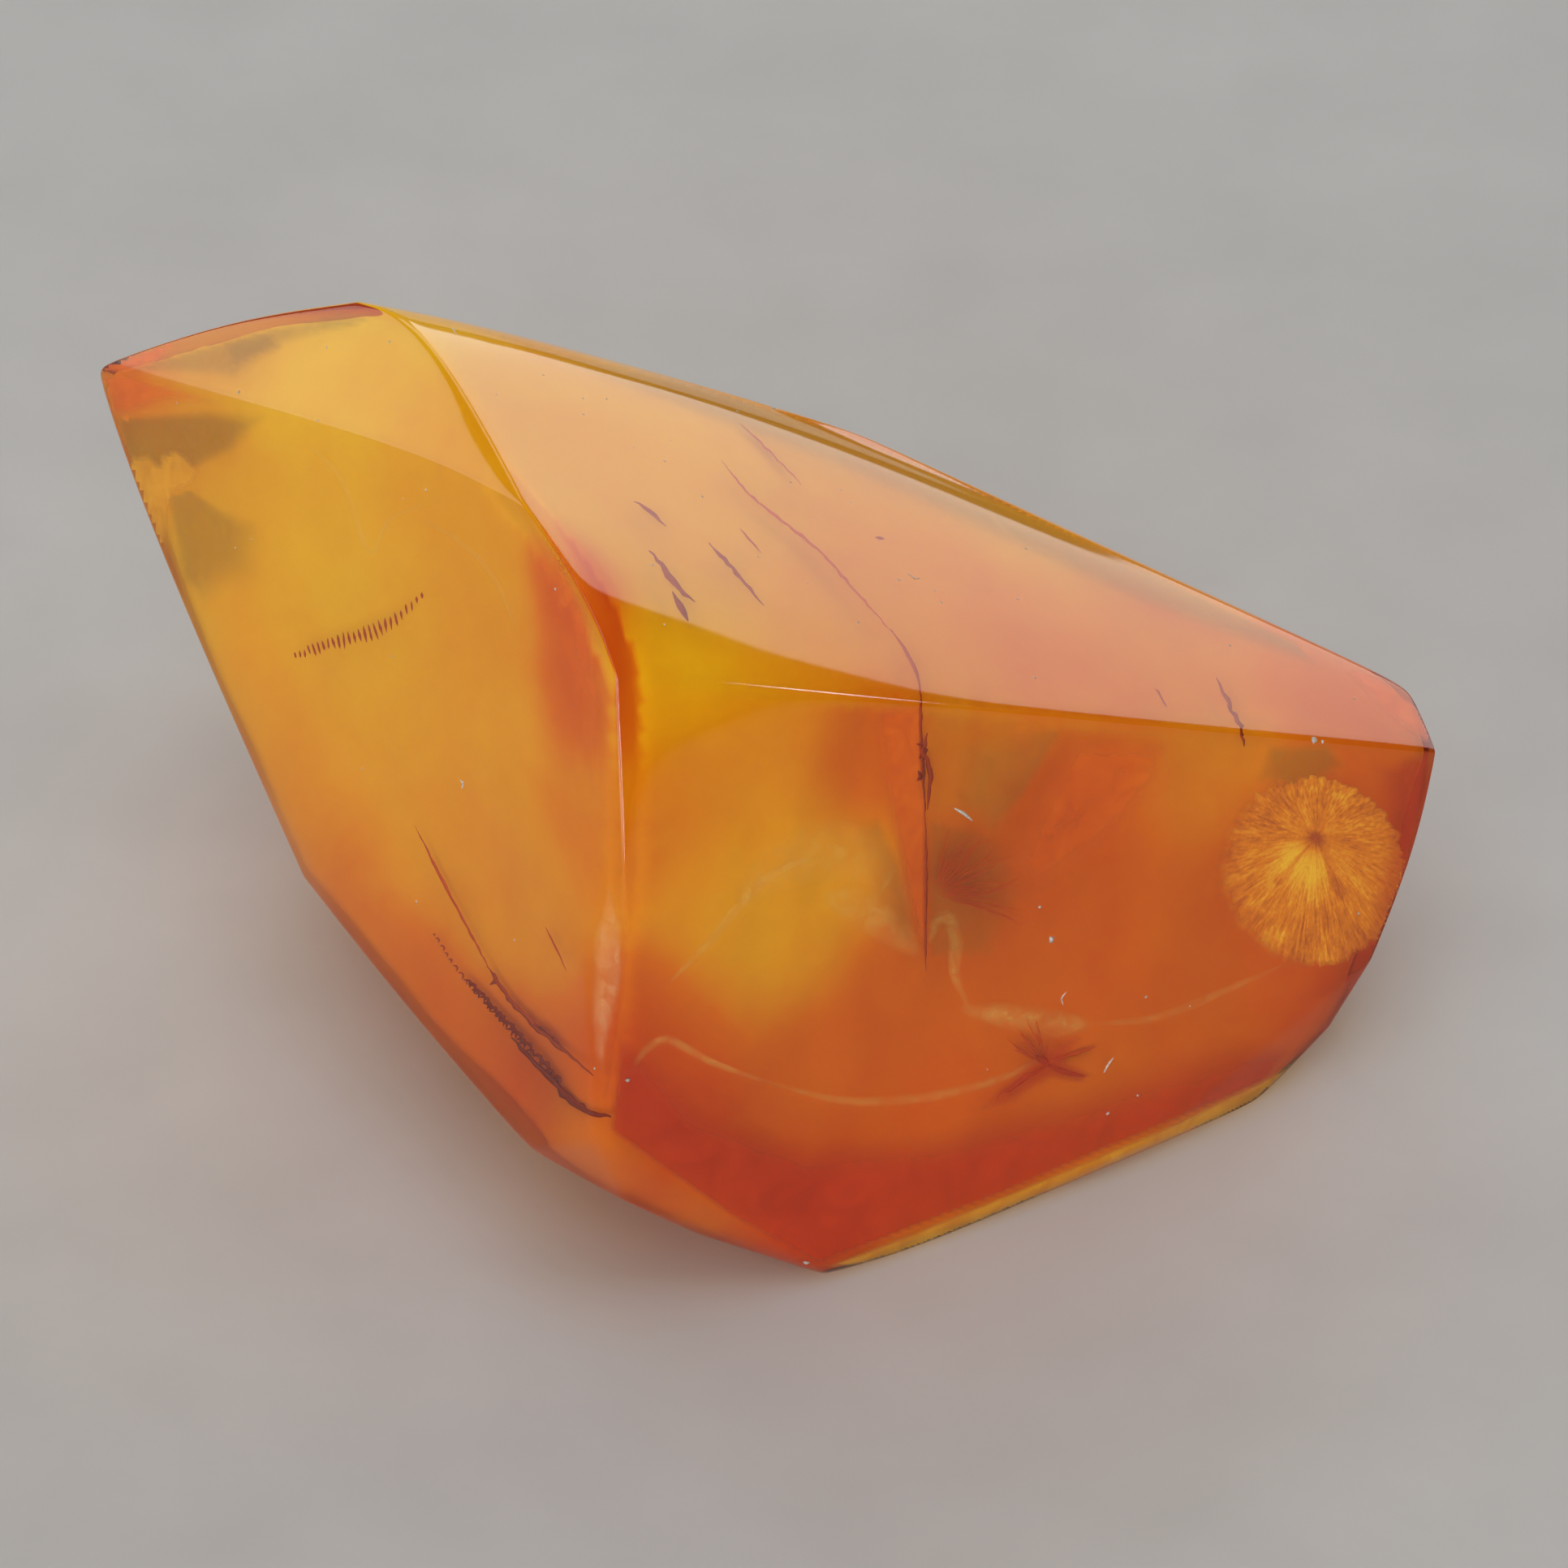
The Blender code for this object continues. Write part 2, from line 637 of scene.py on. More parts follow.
@dataclass
class MilkyHeart(Inclusion):
    """The cloudy inside of the stone.

    Its surface follows the ground facets at a depth that rises and falls: close below the
    polish the eye sees it yellow, and far below it orange to deep red.
    """

    finish: MilkyResin
    spots: Sequence[Spot]
    back_spots: Sequence[BackSpot] = ()
    centre_mm: Point = (-2.5, 3.4, 11.3)
    usual_depth_mm: float = 1.4
    usual_warmth: float = 0.4
    usual_weight: float = 0.02
    most_slant: float = 1.45
    fineness: int = 7
    rounds: int = 9
    ruffle_mm: float = 0.15
    ruffle_size_mm: float = 4.0
    melt_rounds: int = 2
    pace: float = 0.8
    least_facing: float = 0.35

    def blend(self, feet: np.ndarray, marks: np.ndarray) -> tuple[np.ndarray, np.ndarray]:
        """Blend the spots at places on the surface.

        Args:
            feet: The places, one row each, in millimetres.
            marks: The spots as rows of x, y, z, depth, warmth and reach, in millimetres.

        Returns:
            The wanted depth below each place in millimetres, and the warmth there.
        """
        depth = np.full(len(feet), self.usual_weight * self.usual_depth_mm)
        warmth = np.full(len(feet), self.usual_weight * self.usual_warmth)
        weight = np.full(len(feet), self.usual_weight)
        for mark in marks:
            away = ((feet - mark[:3]) ** 2).sum(axis=1)
            pull = np.exp(-away / (2 * mark[5] ** 2))
            depth += pull * mark[3]
            warmth += pull * mark[4]
            weight += pull
        return depth / weight, warmth / weight

    def marks(self, stone: Stone) -> np.ndarray:
        """Put every spot on the stone's surface.

        Args:
            stone: The stone.

        Returns:
            Rows of x, y, z, depth, warmth and reach, in millimetres.
        """
        rows = []
        for spot in self.spots:
            hit, _ = stone.surface_at(spot.pixel)
            rows.append((*(hit / MM), spot.depth_mm, spot.warmth, spot.reach_mm))
        for spot in self.back_spots:
            foot, _, _, _ = stone.tree.find_nearest(Vector(spot.place_mm) * MM)
            rows.append((*(foot / MM), spot.depth_mm, spot.warmth, spot.reach_mm))
        return np.array(rows)

    def build(self, stone: Stone) -> bpy.types.Object:
        """Build the heart."""
        bm = bmesh.new()
        bmesh.ops.create_icosphere(bm, subdivisions=self.fineness, radius=1.0)
        mesh = bpy.data.meshes.new("milky_heart")
        bm.to_mesh(mesh)
        bm.free()
        centre = Vector(self.centre_mm) * MM
        ways = [v.co.normalized() for v in mesh.vertices]
        reaches = np.array([(stone.tree.ray_cast(centre, w)[0] - centre).length for w in ways])
        radii = reaches.copy()
        marks = self.marks(stone)
        for _ in range(self.rounds):
            feet, covers, slants = [], [], []
            for way, radius in zip(ways, radii):
                point = centre + way * radius
                foot, normal, _, _ = stone.tree.find_nearest(point)
                feet.append(foot[:])
                covers.append((foot - point).dot(normal))
                slants.append(max(normal.dot(way), self.least_facing))
            wanted, warmth = self.blend(np.array(feet) / MM, marks)
            short = wanted * MM - np.array(covers)
            radii = radii - self.pace * short / np.array(slants)
            radii = np.maximum(radii, reaches - self.most_slant * wanted * MM)
        for vertex, way, radius in zip(mesh.vertices, ways, radii):
            point = centre + way * radius
            sway = noise.fractal(point / (self.ruffle_size_mm * MM), 1.0, 2.0, 3)
            vertex.co = centre + way * (radius + sway * self.ruffle_mm * MM)
        tint = mesh.attributes.new("warmth", "FLOAT", "POINT")
        tint.data.foreach_set("value", warmth.astype(np.float32))
        rough = bpy.data.objects.new("rough_heart", mesh)
        melt = rough.modifiers.new("Melt", "SMOOTH")
        melt.factor = 0.5
        melt.iterations = self.melt_rounds
        piece = bpy.data.objects.new("milky_heart", evaluated_mesh(rough))
        piece.data.shade_smooth()
        place(piece, self.finish.material())
        return piece


def smooth_path(corners: Sequence[Pixel], count: int) -> np.ndarray:
    """Run a smooth curve through points of the picture.

    Args:
        corners: The points that it passes.
        count: How many points to return.

    Returns:
        Evenly stepped points along the curve, one row each.
    """
    points = np.array(corners, dtype=float)
    padded = np.vstack([2 * points[0] - points[1], points, 2 * points[-1] - points[-2]])
    spans = len(points) - 1
    rows = []
    for step in np.linspace(0, spans, count):
        index = min(int(step), spans - 1)
        t = step - index
        a, b, c, d = padded[index : index + 4]
        bend = 2 * a - 5 * b + 4 * c - d
        twist = 3 * b - a - 3 * c + d
        rows.append(0.5 * (2 * b + (c - a) * t + bend * t**2 + twist * t**3))
    return np.array(rows)


def across(line: np.ndarray) -> np.ndarray:
    """Find the unit ways across a curve in the picture.

    Args:
        line: The curve's points, one row each.

    Returns:
        One unit way a point.
    """
    along = np.gradient(line, axis=0)
    along = along / (np.linalg.norm(along, axis=1, keepdims=True) + TINY)
    return np.stack([-along[:, 1], along[:, 0]], axis=1)


def smooth_step(level: Any) -> Any:
    """Ease a value or an array from 0 to 1 in at both ends."""
    return level * level * (3 - 2 * level)


def path_length(corners: Sequence[Pixel]) -> float:
    """Measure a path through points of the picture, in pixels."""
    return sum(math.dist(one, other) for one, other in zip(corners, corners[1:]))


@dataclass
class Draft:
    """The points and faces of one piece while it is drawn, with a value at each point."""

    points: list[Vector] = field(default_factory=list)
    values: list[float] = field(default_factory=list)
    faces: list[tuple[int, ...]] = field(default_factory=list)

    def add_net(self, rows: Sequence[Sequence[Vector]], values: Sequence[Sequence[float]]) -> None:
        """Add an open net of four-sided faces.

        Args:
            rows: Its points, row by row.
            values: The value at each point.
        """
        start, wide = len(self.points), len(rows[0])
        for row, shades in zip(rows, values):
            self.points.extend(row)
            self.values.extend(shades)
        for i in range(len(rows) - 1):
            for j in range(wide - 1):
                corner = start + i * wide + j
                self.faces.append((corner, corner + 1, corner + wide + 1, corner + wide))

    def add_tube(self, rings: Sequence[Sequence[Vector]], value: float) -> None:
        """Add a closed tube.

        Args:
            rings: Its cross-sections, in order.
            value: The value at all its points.
        """
        start, sides = len(self.points), len(rings[0])
        for ring in rings:
            self.points.extend(ring)
            self.values.extend([value] * sides)
        for i in range(len(rings) - 1):
            for j in range(sides):
                a, b = start + i * sides + j, start + i * sides + (j + 1) % sides
                self.faces.append((a, b, b + sides, a + sides))
        last = start + (len(rings) - 1) * sides
        self.faces.append(tuple(range(start + sides - 1, start - 1, -1)))
        self.faces.append(tuple(range(last, last + sides)))

    def piece(self, name: str, value_name: str, material: bpy.types.Material) -> bpy.types.Object:
        """Turn the draft into a dressed piece.

        Args:
            name: The piece's name.
            value_name: The attribute that holds the values.
            material: Its finish.

        Returns:
            The piece.
        """
        mesh = bpy.data.meshes.new(name)
        mesh.from_pydata([p[:] for p in self.points], [], self.faces)
        mesh.attributes.new(value_name, "FLOAT", "POINT").data.foreach_set("value", self.values)
        mesh.shade_smooth()
        piece = bpy.data.objects.new(name, mesh)
        place(piece, material)
        return piece


@dataclass(frozen=True)
class CrackWall(Finish):
    """The walls of tension cracks, where air got in and the resin oxidised.

    To the eye they are thin strokes from orange-red to dark purple-brown.
    """

    name: str = "oxidised_crack_wall"
    fresh: str = "#DC5C14"
    old: str = "#84200C"
    mottle_mm: float = 0.5
    mottling: float = 0.25

    def shaders(self, tree: Tree) -> dict[str, Socket]:
        """Build the crack's wall, which reads the mesh's shade."""
        mottle = pattern(tree, self.mottle_mm, 3.0)
        shade = mesh_value(tree, "shade")
        uneven = calculate(tree, "MULTIPLY_ADD", mottle, self.mottling, shade, clamp=True)
        colour = ramp(tree, uneven, ((0.12, linear(self.fresh)), (1.0, linear(self.old))))
        return {"Surface": solid_body(tree, colour, 0.7, 0.2)}


@dataclass(frozen=True)
class Film(Finish):
    """A film in the resin: a healed fracture, a lens of clearer resin in the milky one, or a
    painted reflection veil.

    To the eye it is a soft-edged patch that lets the cloud behind show through.
    """

    name: str
    pale: str
    deep: str
    fibre_mm: float = 0.7
    raggedness: float = 0.5

    def shaders(self, tree: Tree) -> dict[str, Socket]:
        """Build the film, whose cover is the mesh's own value, thinned by a fibrous pattern."""
        fibres = pattern(tree, self.fibre_mm, 4.0, 1.0)
        thin = add_node(
            tree,
            "ShaderNodeMapRange",
            links={"Value": fibres},
            values={"From Min": 0.3, "From Max": 0.7, "To Min": 1 - self.raggedness},
        )
        cover = mesh_value(tree, "cover")
        seen = calculate(tree, "MULTIPLY", cover, thin.outputs["Result"], clamp=True)
        colour = ramp(tree, fibres, ((0.3, linear(self.deep)), (0.7, linear(self.pale))))
        body = solid_body(tree, colour, 0.8, 0.1, Alpha=seen)
        return {"Surface": let_light_past(tree, body)}


@dataclass(frozen=True)
class StressDiscLeaf(Finish):
    """The crackled leaf of a stress disc, whose gold-leaf glitter is a painted sheen in its colour.

    To the eye it is a round golden glitter with fine streaks from its centre; the colour runs from
    a painted shade through the leaf's gold to a painted glint.
    """

    name: str = "stress_disc_painted_glitter"
    # The ramp's tones: a painted shade, the leaf's own gold and a painted glint.
    shadow: str = "#B4500A"
    leaf: str = "#EE900C"
    painted_glint: str = "#FFD23C"
    speck_mm: float = 0.14
    glitter: float = 0.42
    crinkle_mm: float = 0.05

    def shaders(self, tree: Tree) -> dict[str, Socket]:
        """Build the leaf, which reads the mesh's glow (its painted sheen) and cover."""
        specks = pattern(tree, self.speck_mm, 3.0)
        glow = mesh_value(tree, "glow")
        lit = calculate(tree, "MULTIPLY_ADD", specks, self.glitter, glow, clamp=True)
        colour = ramp(
            tree,
            lit,
            ((0.15, linear(self.shadow)), (0.6, linear(self.leaf)), (1.0, linear(self.painted_glint))),
        )
        bump = add_node(
            tree,
            "ShaderNodeBump",
            links={"Height": specks},
            values={"Strength": 0.5, "Distance": self.crinkle_mm * MM},
        )
        cover = mesh_value(tree, "cover")
        body = solid_body(tree, colour, 0.5, 0.3, Normal=bump.outputs["Normal"], Alpha=cover)
        return {"Surface": let_light_past(tree, body)}


@dataclass(frozen=True)
class DustFlake(Finish):
    """House dust: skin-pale flakes and lint.

    To the eye they are tiny off-white specks with no gloss.
    """

    name: str = "house_dust"
    pale: str = "#F3EEE6"
    grey: str = "#B9B2A8"
    grain_mm: float = 0.1

    def shaders(self, tree: Tree) -> dict[str, Socket]:
        """Build the dull speck."""
        grain = pattern(tree, self.grain_mm, 2.0)
        colour = ramp(tree, grain, ((0.3, linear(self.grey)), (0.6, linear(self.pale))))
        return {"Surface": solid_body(tree, colour, 1.0, 0.1)}


@dataclass(frozen=True)
class TableTop(Finish):
    """Pale laminate on a table.

    To the eye it is a matte off-white with a grain too fine to make out.
    """

    name: str = "matte_laminate"
    pale: str = "#E0DEDA"
    grey: str = "#DAD8D4"
    grains: float = 900.0

    def shaders(self, tree: Tree) -> dict[str, Socket]:
        """Build the matte sheet."""
        grain = add_node(tree, "ShaderNodeTexNoise", values={"Scale": self.grains, "Detail": 4.0})
        stops = ((0.3, linear(self.grey)), (0.7, linear(self.pale)))
        colour = ramp(tree, grain.outputs["Fac"], stops)
        return {"Surface": solid_body(tree, colour, 0.6, 0.3)}


@dataclass(frozen=True)
class Crack:
    """One crack: a thin wall that goes down into the resin."""

    path: tuple[Pixel, ...]
    width_mm: float = 0.12
    depth_mm: float = 0.5
    drop_mm: float = 0.5
    jag_px: float = 0.0
    shade: float = 0.6
    step_px: float = 7.0
    bluntness: float = 0.6
    unevenness: Range = (0.7, 1.3)

    def draw(self, draft: Draft, stone: Stone, dice: random.Random) -> None:
        """Draw the crack's wall.

        Args:
            draft: The draft that takes it.
            stone: The stone that it lies in.
            dice: The seeded chance that makes its edge uneven.
        """
        count = max(5, int(path_length(self.path) / self.step_px))
        line = smooth_path(self.path, count)
        sides = across(line)
        rings = []
        for index, (spot, side) in enumerate(zip(line, sides)):
            along = min(max(index / (count - 1), 0.02), 0.98)
            taper = math.sin(math.pi * along) ** self.bluntness
            wide = self.width_mm / VIEW.mm_per_pixel * dice.uniform(*self.unevenness)
            half = wide / 2 * taper
            middle = spot + side * dice.uniform(-1, 1) * self.jag_px
            drop = self.drop_mm * taper
            rings.append(
                [
                    stone.inside(middle, self.depth_mm),
                    stone.inside(middle - side * half, self.depth_mm + drop / 2),
                    stone.inside(middle, self.depth_mm + drop),
                    stone.inside(middle + side * half, self.depth_mm + drop / 2),
                ]
            )
        draft.add_tube(rings, self.shade)


class Slit(Enum):
    """The shape of the small cracks in a row."""

    STRAIGHT = 0.0
    CRESCENT = 0.45


class CrackSet:
    """Small cracks that one cause has left together."""

    def cracks(self, dice: random.Random) -> list[Crack]:
        """Work out the cracks.

        Args:
            dice: The seeded chance that makes them uneven.

        Returns:
            The cracks.
        """
        raise NotImplementedError


@dataclass(frozen=True)
class SlitRow(CrackSet):
    """A row of small cracks side by side, as a bending strain leaves them."""

    path: tuple[Pixel, ...]
    count: int
    shape: Slit
    first_px: float
    middle_px: float
    last_px: float
    lean_deg: float
    width_mm: float = 0.07
    depth_mm: float = 0.4
    shade: float = 0.5
    drop_mm: float = 0.3
    lengths: Range = (0.75, 1.2)
    sway_deg: float = 7.0
    shift_px: float = 1.5

    def cracks(self, dice: random.Random) -> list[Crack]:
        """Work out the row's cracks."""
        line = smooth_path(self.path, self.count)
        made = []
        for index, spot in enumerate(line):
            along = index / (self.count - 1)
            ends = (1 - along) * self.first_px + along * self.last_px
            hump = 4 * along * (1 - along)
            size = (ends + hump * (self.middle_px - ends)) * dice.uniform(*self.lengths)
            turn = math.radians(self.lean_deg + dice.uniform(-self.sway_deg, self.sway_deg))
            way = np.array((math.cos(turn), math.sin(turn)))
            out = np.array((-way[1], way[0])) * size * self.shape.value
            spot = spot + way * dice.uniform(-self.shift_px, self.shift_px)
            path = tuple(
                tuple(spot + way * size * step - out * (1 - 4 * step * step))
                for step in (-0.5, -0.25, 0.0, 0.25, 0.5)
            )
            made.append(
                Crack(path, self.width_mm, self.depth_mm, self.drop_mm, shade=self.shade)
            )
        return made


@dataclass(frozen=True)
class Fan(CrackSet):
    """Fine curved cracks that spread from one side of a point like a fan."""

    heart_px: Pixel
    inner_px: float
    outer_px: float
    from_deg: float
    to_deg: float
    count: int
    width_mm: float = 0.05
    depth_mm: float = 0.7
    shade: float = 0.25
    drop_mm: float = 0.1
    jag_px: float = 0.5
    most_bend: float = 0.25
    starts: Range = (0.7, 1.8)
    lengths: Range = (0.25, 0.95)

    def cracks(self, dice: random.Random) -> list[Crack]:
        """Work out the fan's cracks."""
        made = []
        span = self.to_deg - self.from_deg
        for index in range(self.count):
            turn = math.radians(self.from_deg + span * (index + dice.random()) / self.count)
            bend = dice.uniform(-self.most_bend, self.most_bend)
            near = self.inner_px * dice.uniform(*self.starts)
            far = near + (self.outer_px - self.inner_px) * dice.uniform(*self.lengths)
            path = []
            for step in (0.0, 0.35, 0.7, 1.0):
                reach, angle = near + (far - near) * step, turn + bend * step * step
                spot = Vector(self.heart_px) + Vector((math.cos(angle), math.sin(angle))) * reach
                path.append((spot.x, spot.y))
            sizes = (self.width_mm, self.depth_mm, self.drop_mm, self.jag_px)
            made.append(Crack(tuple(path), *sizes, self.shade))
        return made


@dataclass
class Cracks(Inclusion):
    """All the tension cracks in the stone, as one piece."""

    walls: Sequence[Crack]
    rows: Sequence[CrackSet]
    finish: CrackWall = field(default_factory=CrackWall)
    seed: int = 11

    def build(self, stone: Stone) -> bpy.types.Object:
        """Build the cracks."""
        dice = random.Random(self.seed)
        draft = Draft()
        walls = list(self.walls)
        for row in self.rows:
            walls.extend(row.cracks(dice))
        for wall in walls:
            wall.draw(draft, stone, dice)
        return draft.piece("tension_cracks", "shade", self.finish.material())


class Sheet:
    """A thin soft-edged film in the resin."""

    def draw(self, draft: Draft, stone: Stone) -> None:
        """Draw the film.

        Args:
            draft: The draft that takes it.
            stone: The stone that it lies in.
        """
        raise NotImplementedError


@dataclass(frozen=True)
class Patch(Sheet):
    """One soft-edged film that follows a path in the picture."""

    path: tuple[Pixel, ...]
    width_px: float
    cover: float
    depth_mm: float = 0.8
    end_width: float = 0.3
    step_px: float = 8.0
    columns: int = 11
    fade_in: float = 2.2
    edge_softness: float = 1.3

    def draw(self, draft: Draft, stone: Stone) -> None:
        """Draw the film as a strip of even squares."""
        count = max(8, int(path_length(self.path) / self.step_px))
        line = smooth_path(self.path, count)
        sides = across(line)
        rows, covers = [], []
        steps = np.linspace(-1, 1, self.columns)
        for index, (spot, side) in enumerate(zip(line, sides)):
            along = index / (count - 1)
            swell = math.sin(math.pi * along)
            half = self.width_px / 2 * (self.end_width + (1 - self.end_width) * swell)
            rows.append([stone.inside(spot + side * half * s, self.depth_mm) for s in steps])
            cover = self.cover * min(1.0, self.fade_in * swell)
            covers.append([cover * (1 - s * s) ** self.edge_softness for s in steps])
        draft.add_net(rows, covers)


@dataclass(frozen=True)
class Pool(Sheet):
    """One film with a drawn outline, crisp or soft at each of its corners."""

    outline: tuple[tuple[float, float, float], ...]
    cover: float
    depth_mm: float = 0.5
    step_px: float = 5.0

    def covers(self, spots: np.ndarray) -> np.ndarray:
        """Find how much the film covers at places of the picture.

        Args:
            spots: The places, one row each.

        Returns:
            The cover at each, 0 outside the outline.
        """
        corners = np.array(self.outline, dtype=float)
        nearest = np.full(len(spots), np.inf)
        inside = np.zeros(len(spots), dtype=bool)
        x, y = spots[:, 0], spots[:, 1]
        for one, other in zip(corners, np.roll(corners, -1, axis=0)):
            along = other[:2] - one[:2]
            t = ((spots - one[:2]) @ along) / max(along @ along, TINY)
            t = np.clip(t, 0, 1)
            away = np.linalg.norm(spots - (one[:2] + t[:, None] * along), axis=1)
            nearest = np.minimum(nearest, away / (one[2] + t * (other[2] - one[2])))
            crosses = (one[1] > y) != (other[1] > y)
            rise = other[1] - one[1] if other[1] != one[1] else TINY
            inside ^= crosses & (x < (y - one[1]) * along[0] / rise + one[0])
        level = np.clip(nearest, 0, 1)
        return np.where(inside, self.cover * smooth_step(level), 0.0)

    def draw(self, draft: Draft, stone: Stone) -> None:
        """Draw the film as a grid of squares, where the outline covers it."""
        corners = np.array(self.outline)[:, :2]
        low, high = corners.min(axis=0) - self.step_px, corners.max(axis=0) + self.step_px
        across_px = np.arange(low[0], high[0] + self.step_px, self.step_px)
        down_px = np.arange(low[1], high[1] + self.step_px, self.step_px)
        spots = np.array([(x, y) for y in down_px for x in across_px])
        covers = self.covers(spots).reshape(len(down_px), len(across_px))
        used: dict[tuple[int, int], int] = {}
        for i in range(len(down_px) - 1):
            for j in range(len(across_px) - 1):
                square = ((i, j), (i, j + 1), (i + 1, j + 1), (i + 1, j))
                feet = [(across_px[q], down_px[p]) for p, q in square]
                if covers[i : i + 2, j : j + 2].max() <= 0:
                    continue
                if any(stone.surface_at(foot)[0] is None for foot in feet):
                    continue
                for key, foot in zip(square, feet):
                    if key not in used:
                        used[key] = len(draft.points)
                        draft.points.append(stone.inside(foot, self.depth_mm))
                        draft.values.append(float(covers[key]))
                draft.faces.append(tuple(used[key] for key in square))


@dataclass
class Films(Inclusion):
    """Films of one kind, as one piece."""

    name: str
    finish: Film
    patches: Sequence[Sheet]

    def build(self, stone: Stone) -> bpy.types.Object:
        """Build the films."""
        draft = Draft()
        for patch in self.patches:
            patch.draw(draft, stone)
        return draft.piece(self.name, "cover", self.finish.material())


@dataclass(frozen=True)
class Streaks:
    """The fine light and dark streaks of a stress disc."""

    strength: float
    around: float
    outward: float
    start: float

    def at(self, way: Vector, out: float) -> float:
        """Find the streaks' value at a way from the centre, from -1 to 1."""
        return noise.noise(way * self.around + Vector((0, 0, self.start + out * self.outward)))


@dataclass(frozen=True)
class DarkArm:
    """A dark arm of a stress disc, which runs out from near its centre."""

    turn: float
    spread: float
    reach: Range

    def at(self, turn: float, out: float) -> float:
        """Find how dark the arm is at one place, from 0 to 1."""
        within = self.reach[0] < out < self.reach[1]
        return math.exp(-(((turn - self.turn) / self.spread) ** 2)) * within


@dataclass
class StressDisc(Inclusion):
    """A sun spangle: a round flat crack with fine pleats that run out from its centre."""

    name: str
    middle: Pixel
    heart_px: Pixel
    radius_px: float
    depth_mm: float
    finish: StressDiscLeaf = field(default_factory=StressDiscLeaf)
    # The even level of the leaf's painted sheen.
    painted_sheen_level: float = 0.33
    fine: Streaks = Streaks(0.26, 26.0, 7.0, 0.0)
    finer: Streaks = Streaks(0.26, 70.0, 16.0, 3.0)
    broad: Streaks = Streaks(0.22, 3.0, 2.0, 7.0)
    plain_centre: float = 0.4
    pool_strength: float = 0.45
    pool_turn: float = 2.1
    pool_out: float = 0.25
    pool_spread: float = 0.05
    pupil_strength: float = 0.6
    pupil_size: float = 0.09
    arm_strength: float = 0.30
    arms: tuple[DarkArm, ...] = (
        DarkArm(2.45, 0.10, (0.08, 0.5)),
        DarkArm(0.95, 0.13, (0.05, 0.55)),
    )
    rim_strength: float = 2.2
    rim_turn: float = 0.5
    rim_out: float = 0.7
    dome_mm: float = 0.08
    pleat_mm: float = 0.03
    raggedness: float = 0.05
    edge_softness: float = 0.05
    left_softness: float = 0.24
    spokes: int = 512
    rings: int = 36

    def glow(self, turn: float, out: float) -> float:
        """Find the leaf's painted sheen at one place, with its pleat streaks, dark centre, arms and
        rim.

        Args:
            turn: The angle about the centre in radians, clockwise in the picture.
            out: The way out from the centre, 0 to 1.

        Returns:
            The painted sheen, 0 to 1.
        """
        way = Vector((math.cos(turn), math.sin(turn), 0.0))
        fine, finer, broad = (s.at(way, out) for s in (self.fine, self.finer, self.broad))
        streaks = fine * self.fine.strength + finer * self.finer.strength
        streaks *= min(1.0, out / self.plain_centre)
        # A painted pool of sheen, brighter below and to the left of the centre.
        pool = math.exp(-((out - self.pool_out) ** 2) / self.pool_spread)
        pool *= max(0.0, math.cos(turn - self.pool_turn)) * self.pool_strength
        pupil = math.exp(-((out / self.pupil_size) ** 2)) * self.pupil_strength
        arms = self.arm_strength * sum(arm.at(turn, out) for arm in self.arms)
        rim = max(0.0, out - self.rim_out) * self.rim_strength * max(0.0, fine)
        rim *= max(0.0, math.cos(turn - self.rim_turn))
        # The even painted sheen, plus the pleats' fine and broad streaks.
        glow = self.painted_sheen_level + streaks + broad * self.broad.strength
        return glow + pool - pupil - arms - rim

    def build(self, stone: Stone) -> bpy.types.Object:
        """Build the disc."""
        draft = Draft()
        rows, painted_sheen_and_streaks, covers = [], [], []
        for ring in range(self.rings + 1):
            out = ring / self.rings
            row, shades = [], []
            for spoke in range(self.spokes + 1):
                turn = 2 * math.pi * (spoke % self.spokes) / self.spokes
                way = Vector((math.cos(turn), math.sin(turn)))
                ragged = noise.fractal(Vector((way.x * 9, way.y * 9, 3.0)), 0.7, 2.0, 6)
                reach = self.radius_px * (1 + self.raggedness * ragged)
                start = Vector(self.heart_px) * (1 - out) + Vector(self.middle) * out
                spot = start + way * reach * out
                pleat = noise.noise(Vector((way.x * 30, way.y * 30, out * 3))) * self.pleat_mm
                depth = self.depth_mm + self.dome_mm * out * out + pleat * out
                row.append(stone.inside(stone.pulled_in((spot.x, spot.y), self.middle), depth))
                shades.append(self.glow(turn if turn < math.pi else turn - 2 * math.pi, out))
                leftward = max(0.0, math.cos(turn - math.pi)) ** 0.7
                softness = self.edge_softness + self.left_softness * leftward
                covers.append(smooth_step(min(1.0, (1 - out) / softness)))
            rows.append(row)
            painted_sheen_and_streaks.append(shades)
        # The glow values are the leaf's painted sheen and its streaks.
        draft.add_net(rows, painted_sheen_and_streaks)
        piece = draft.piece(self.name, "glow", self.finish.material())
        seen = piece.data.attributes.new("cover", "FLOAT", "POINT")
        seen.data.foreach_set("value", covers)
        return piece


@dataclass(frozen=True)
class Lint:
    """One fibre or long flake that lies on the polish."""

    path: tuple[Pixel, ...]
    width_mm: float = 0.06


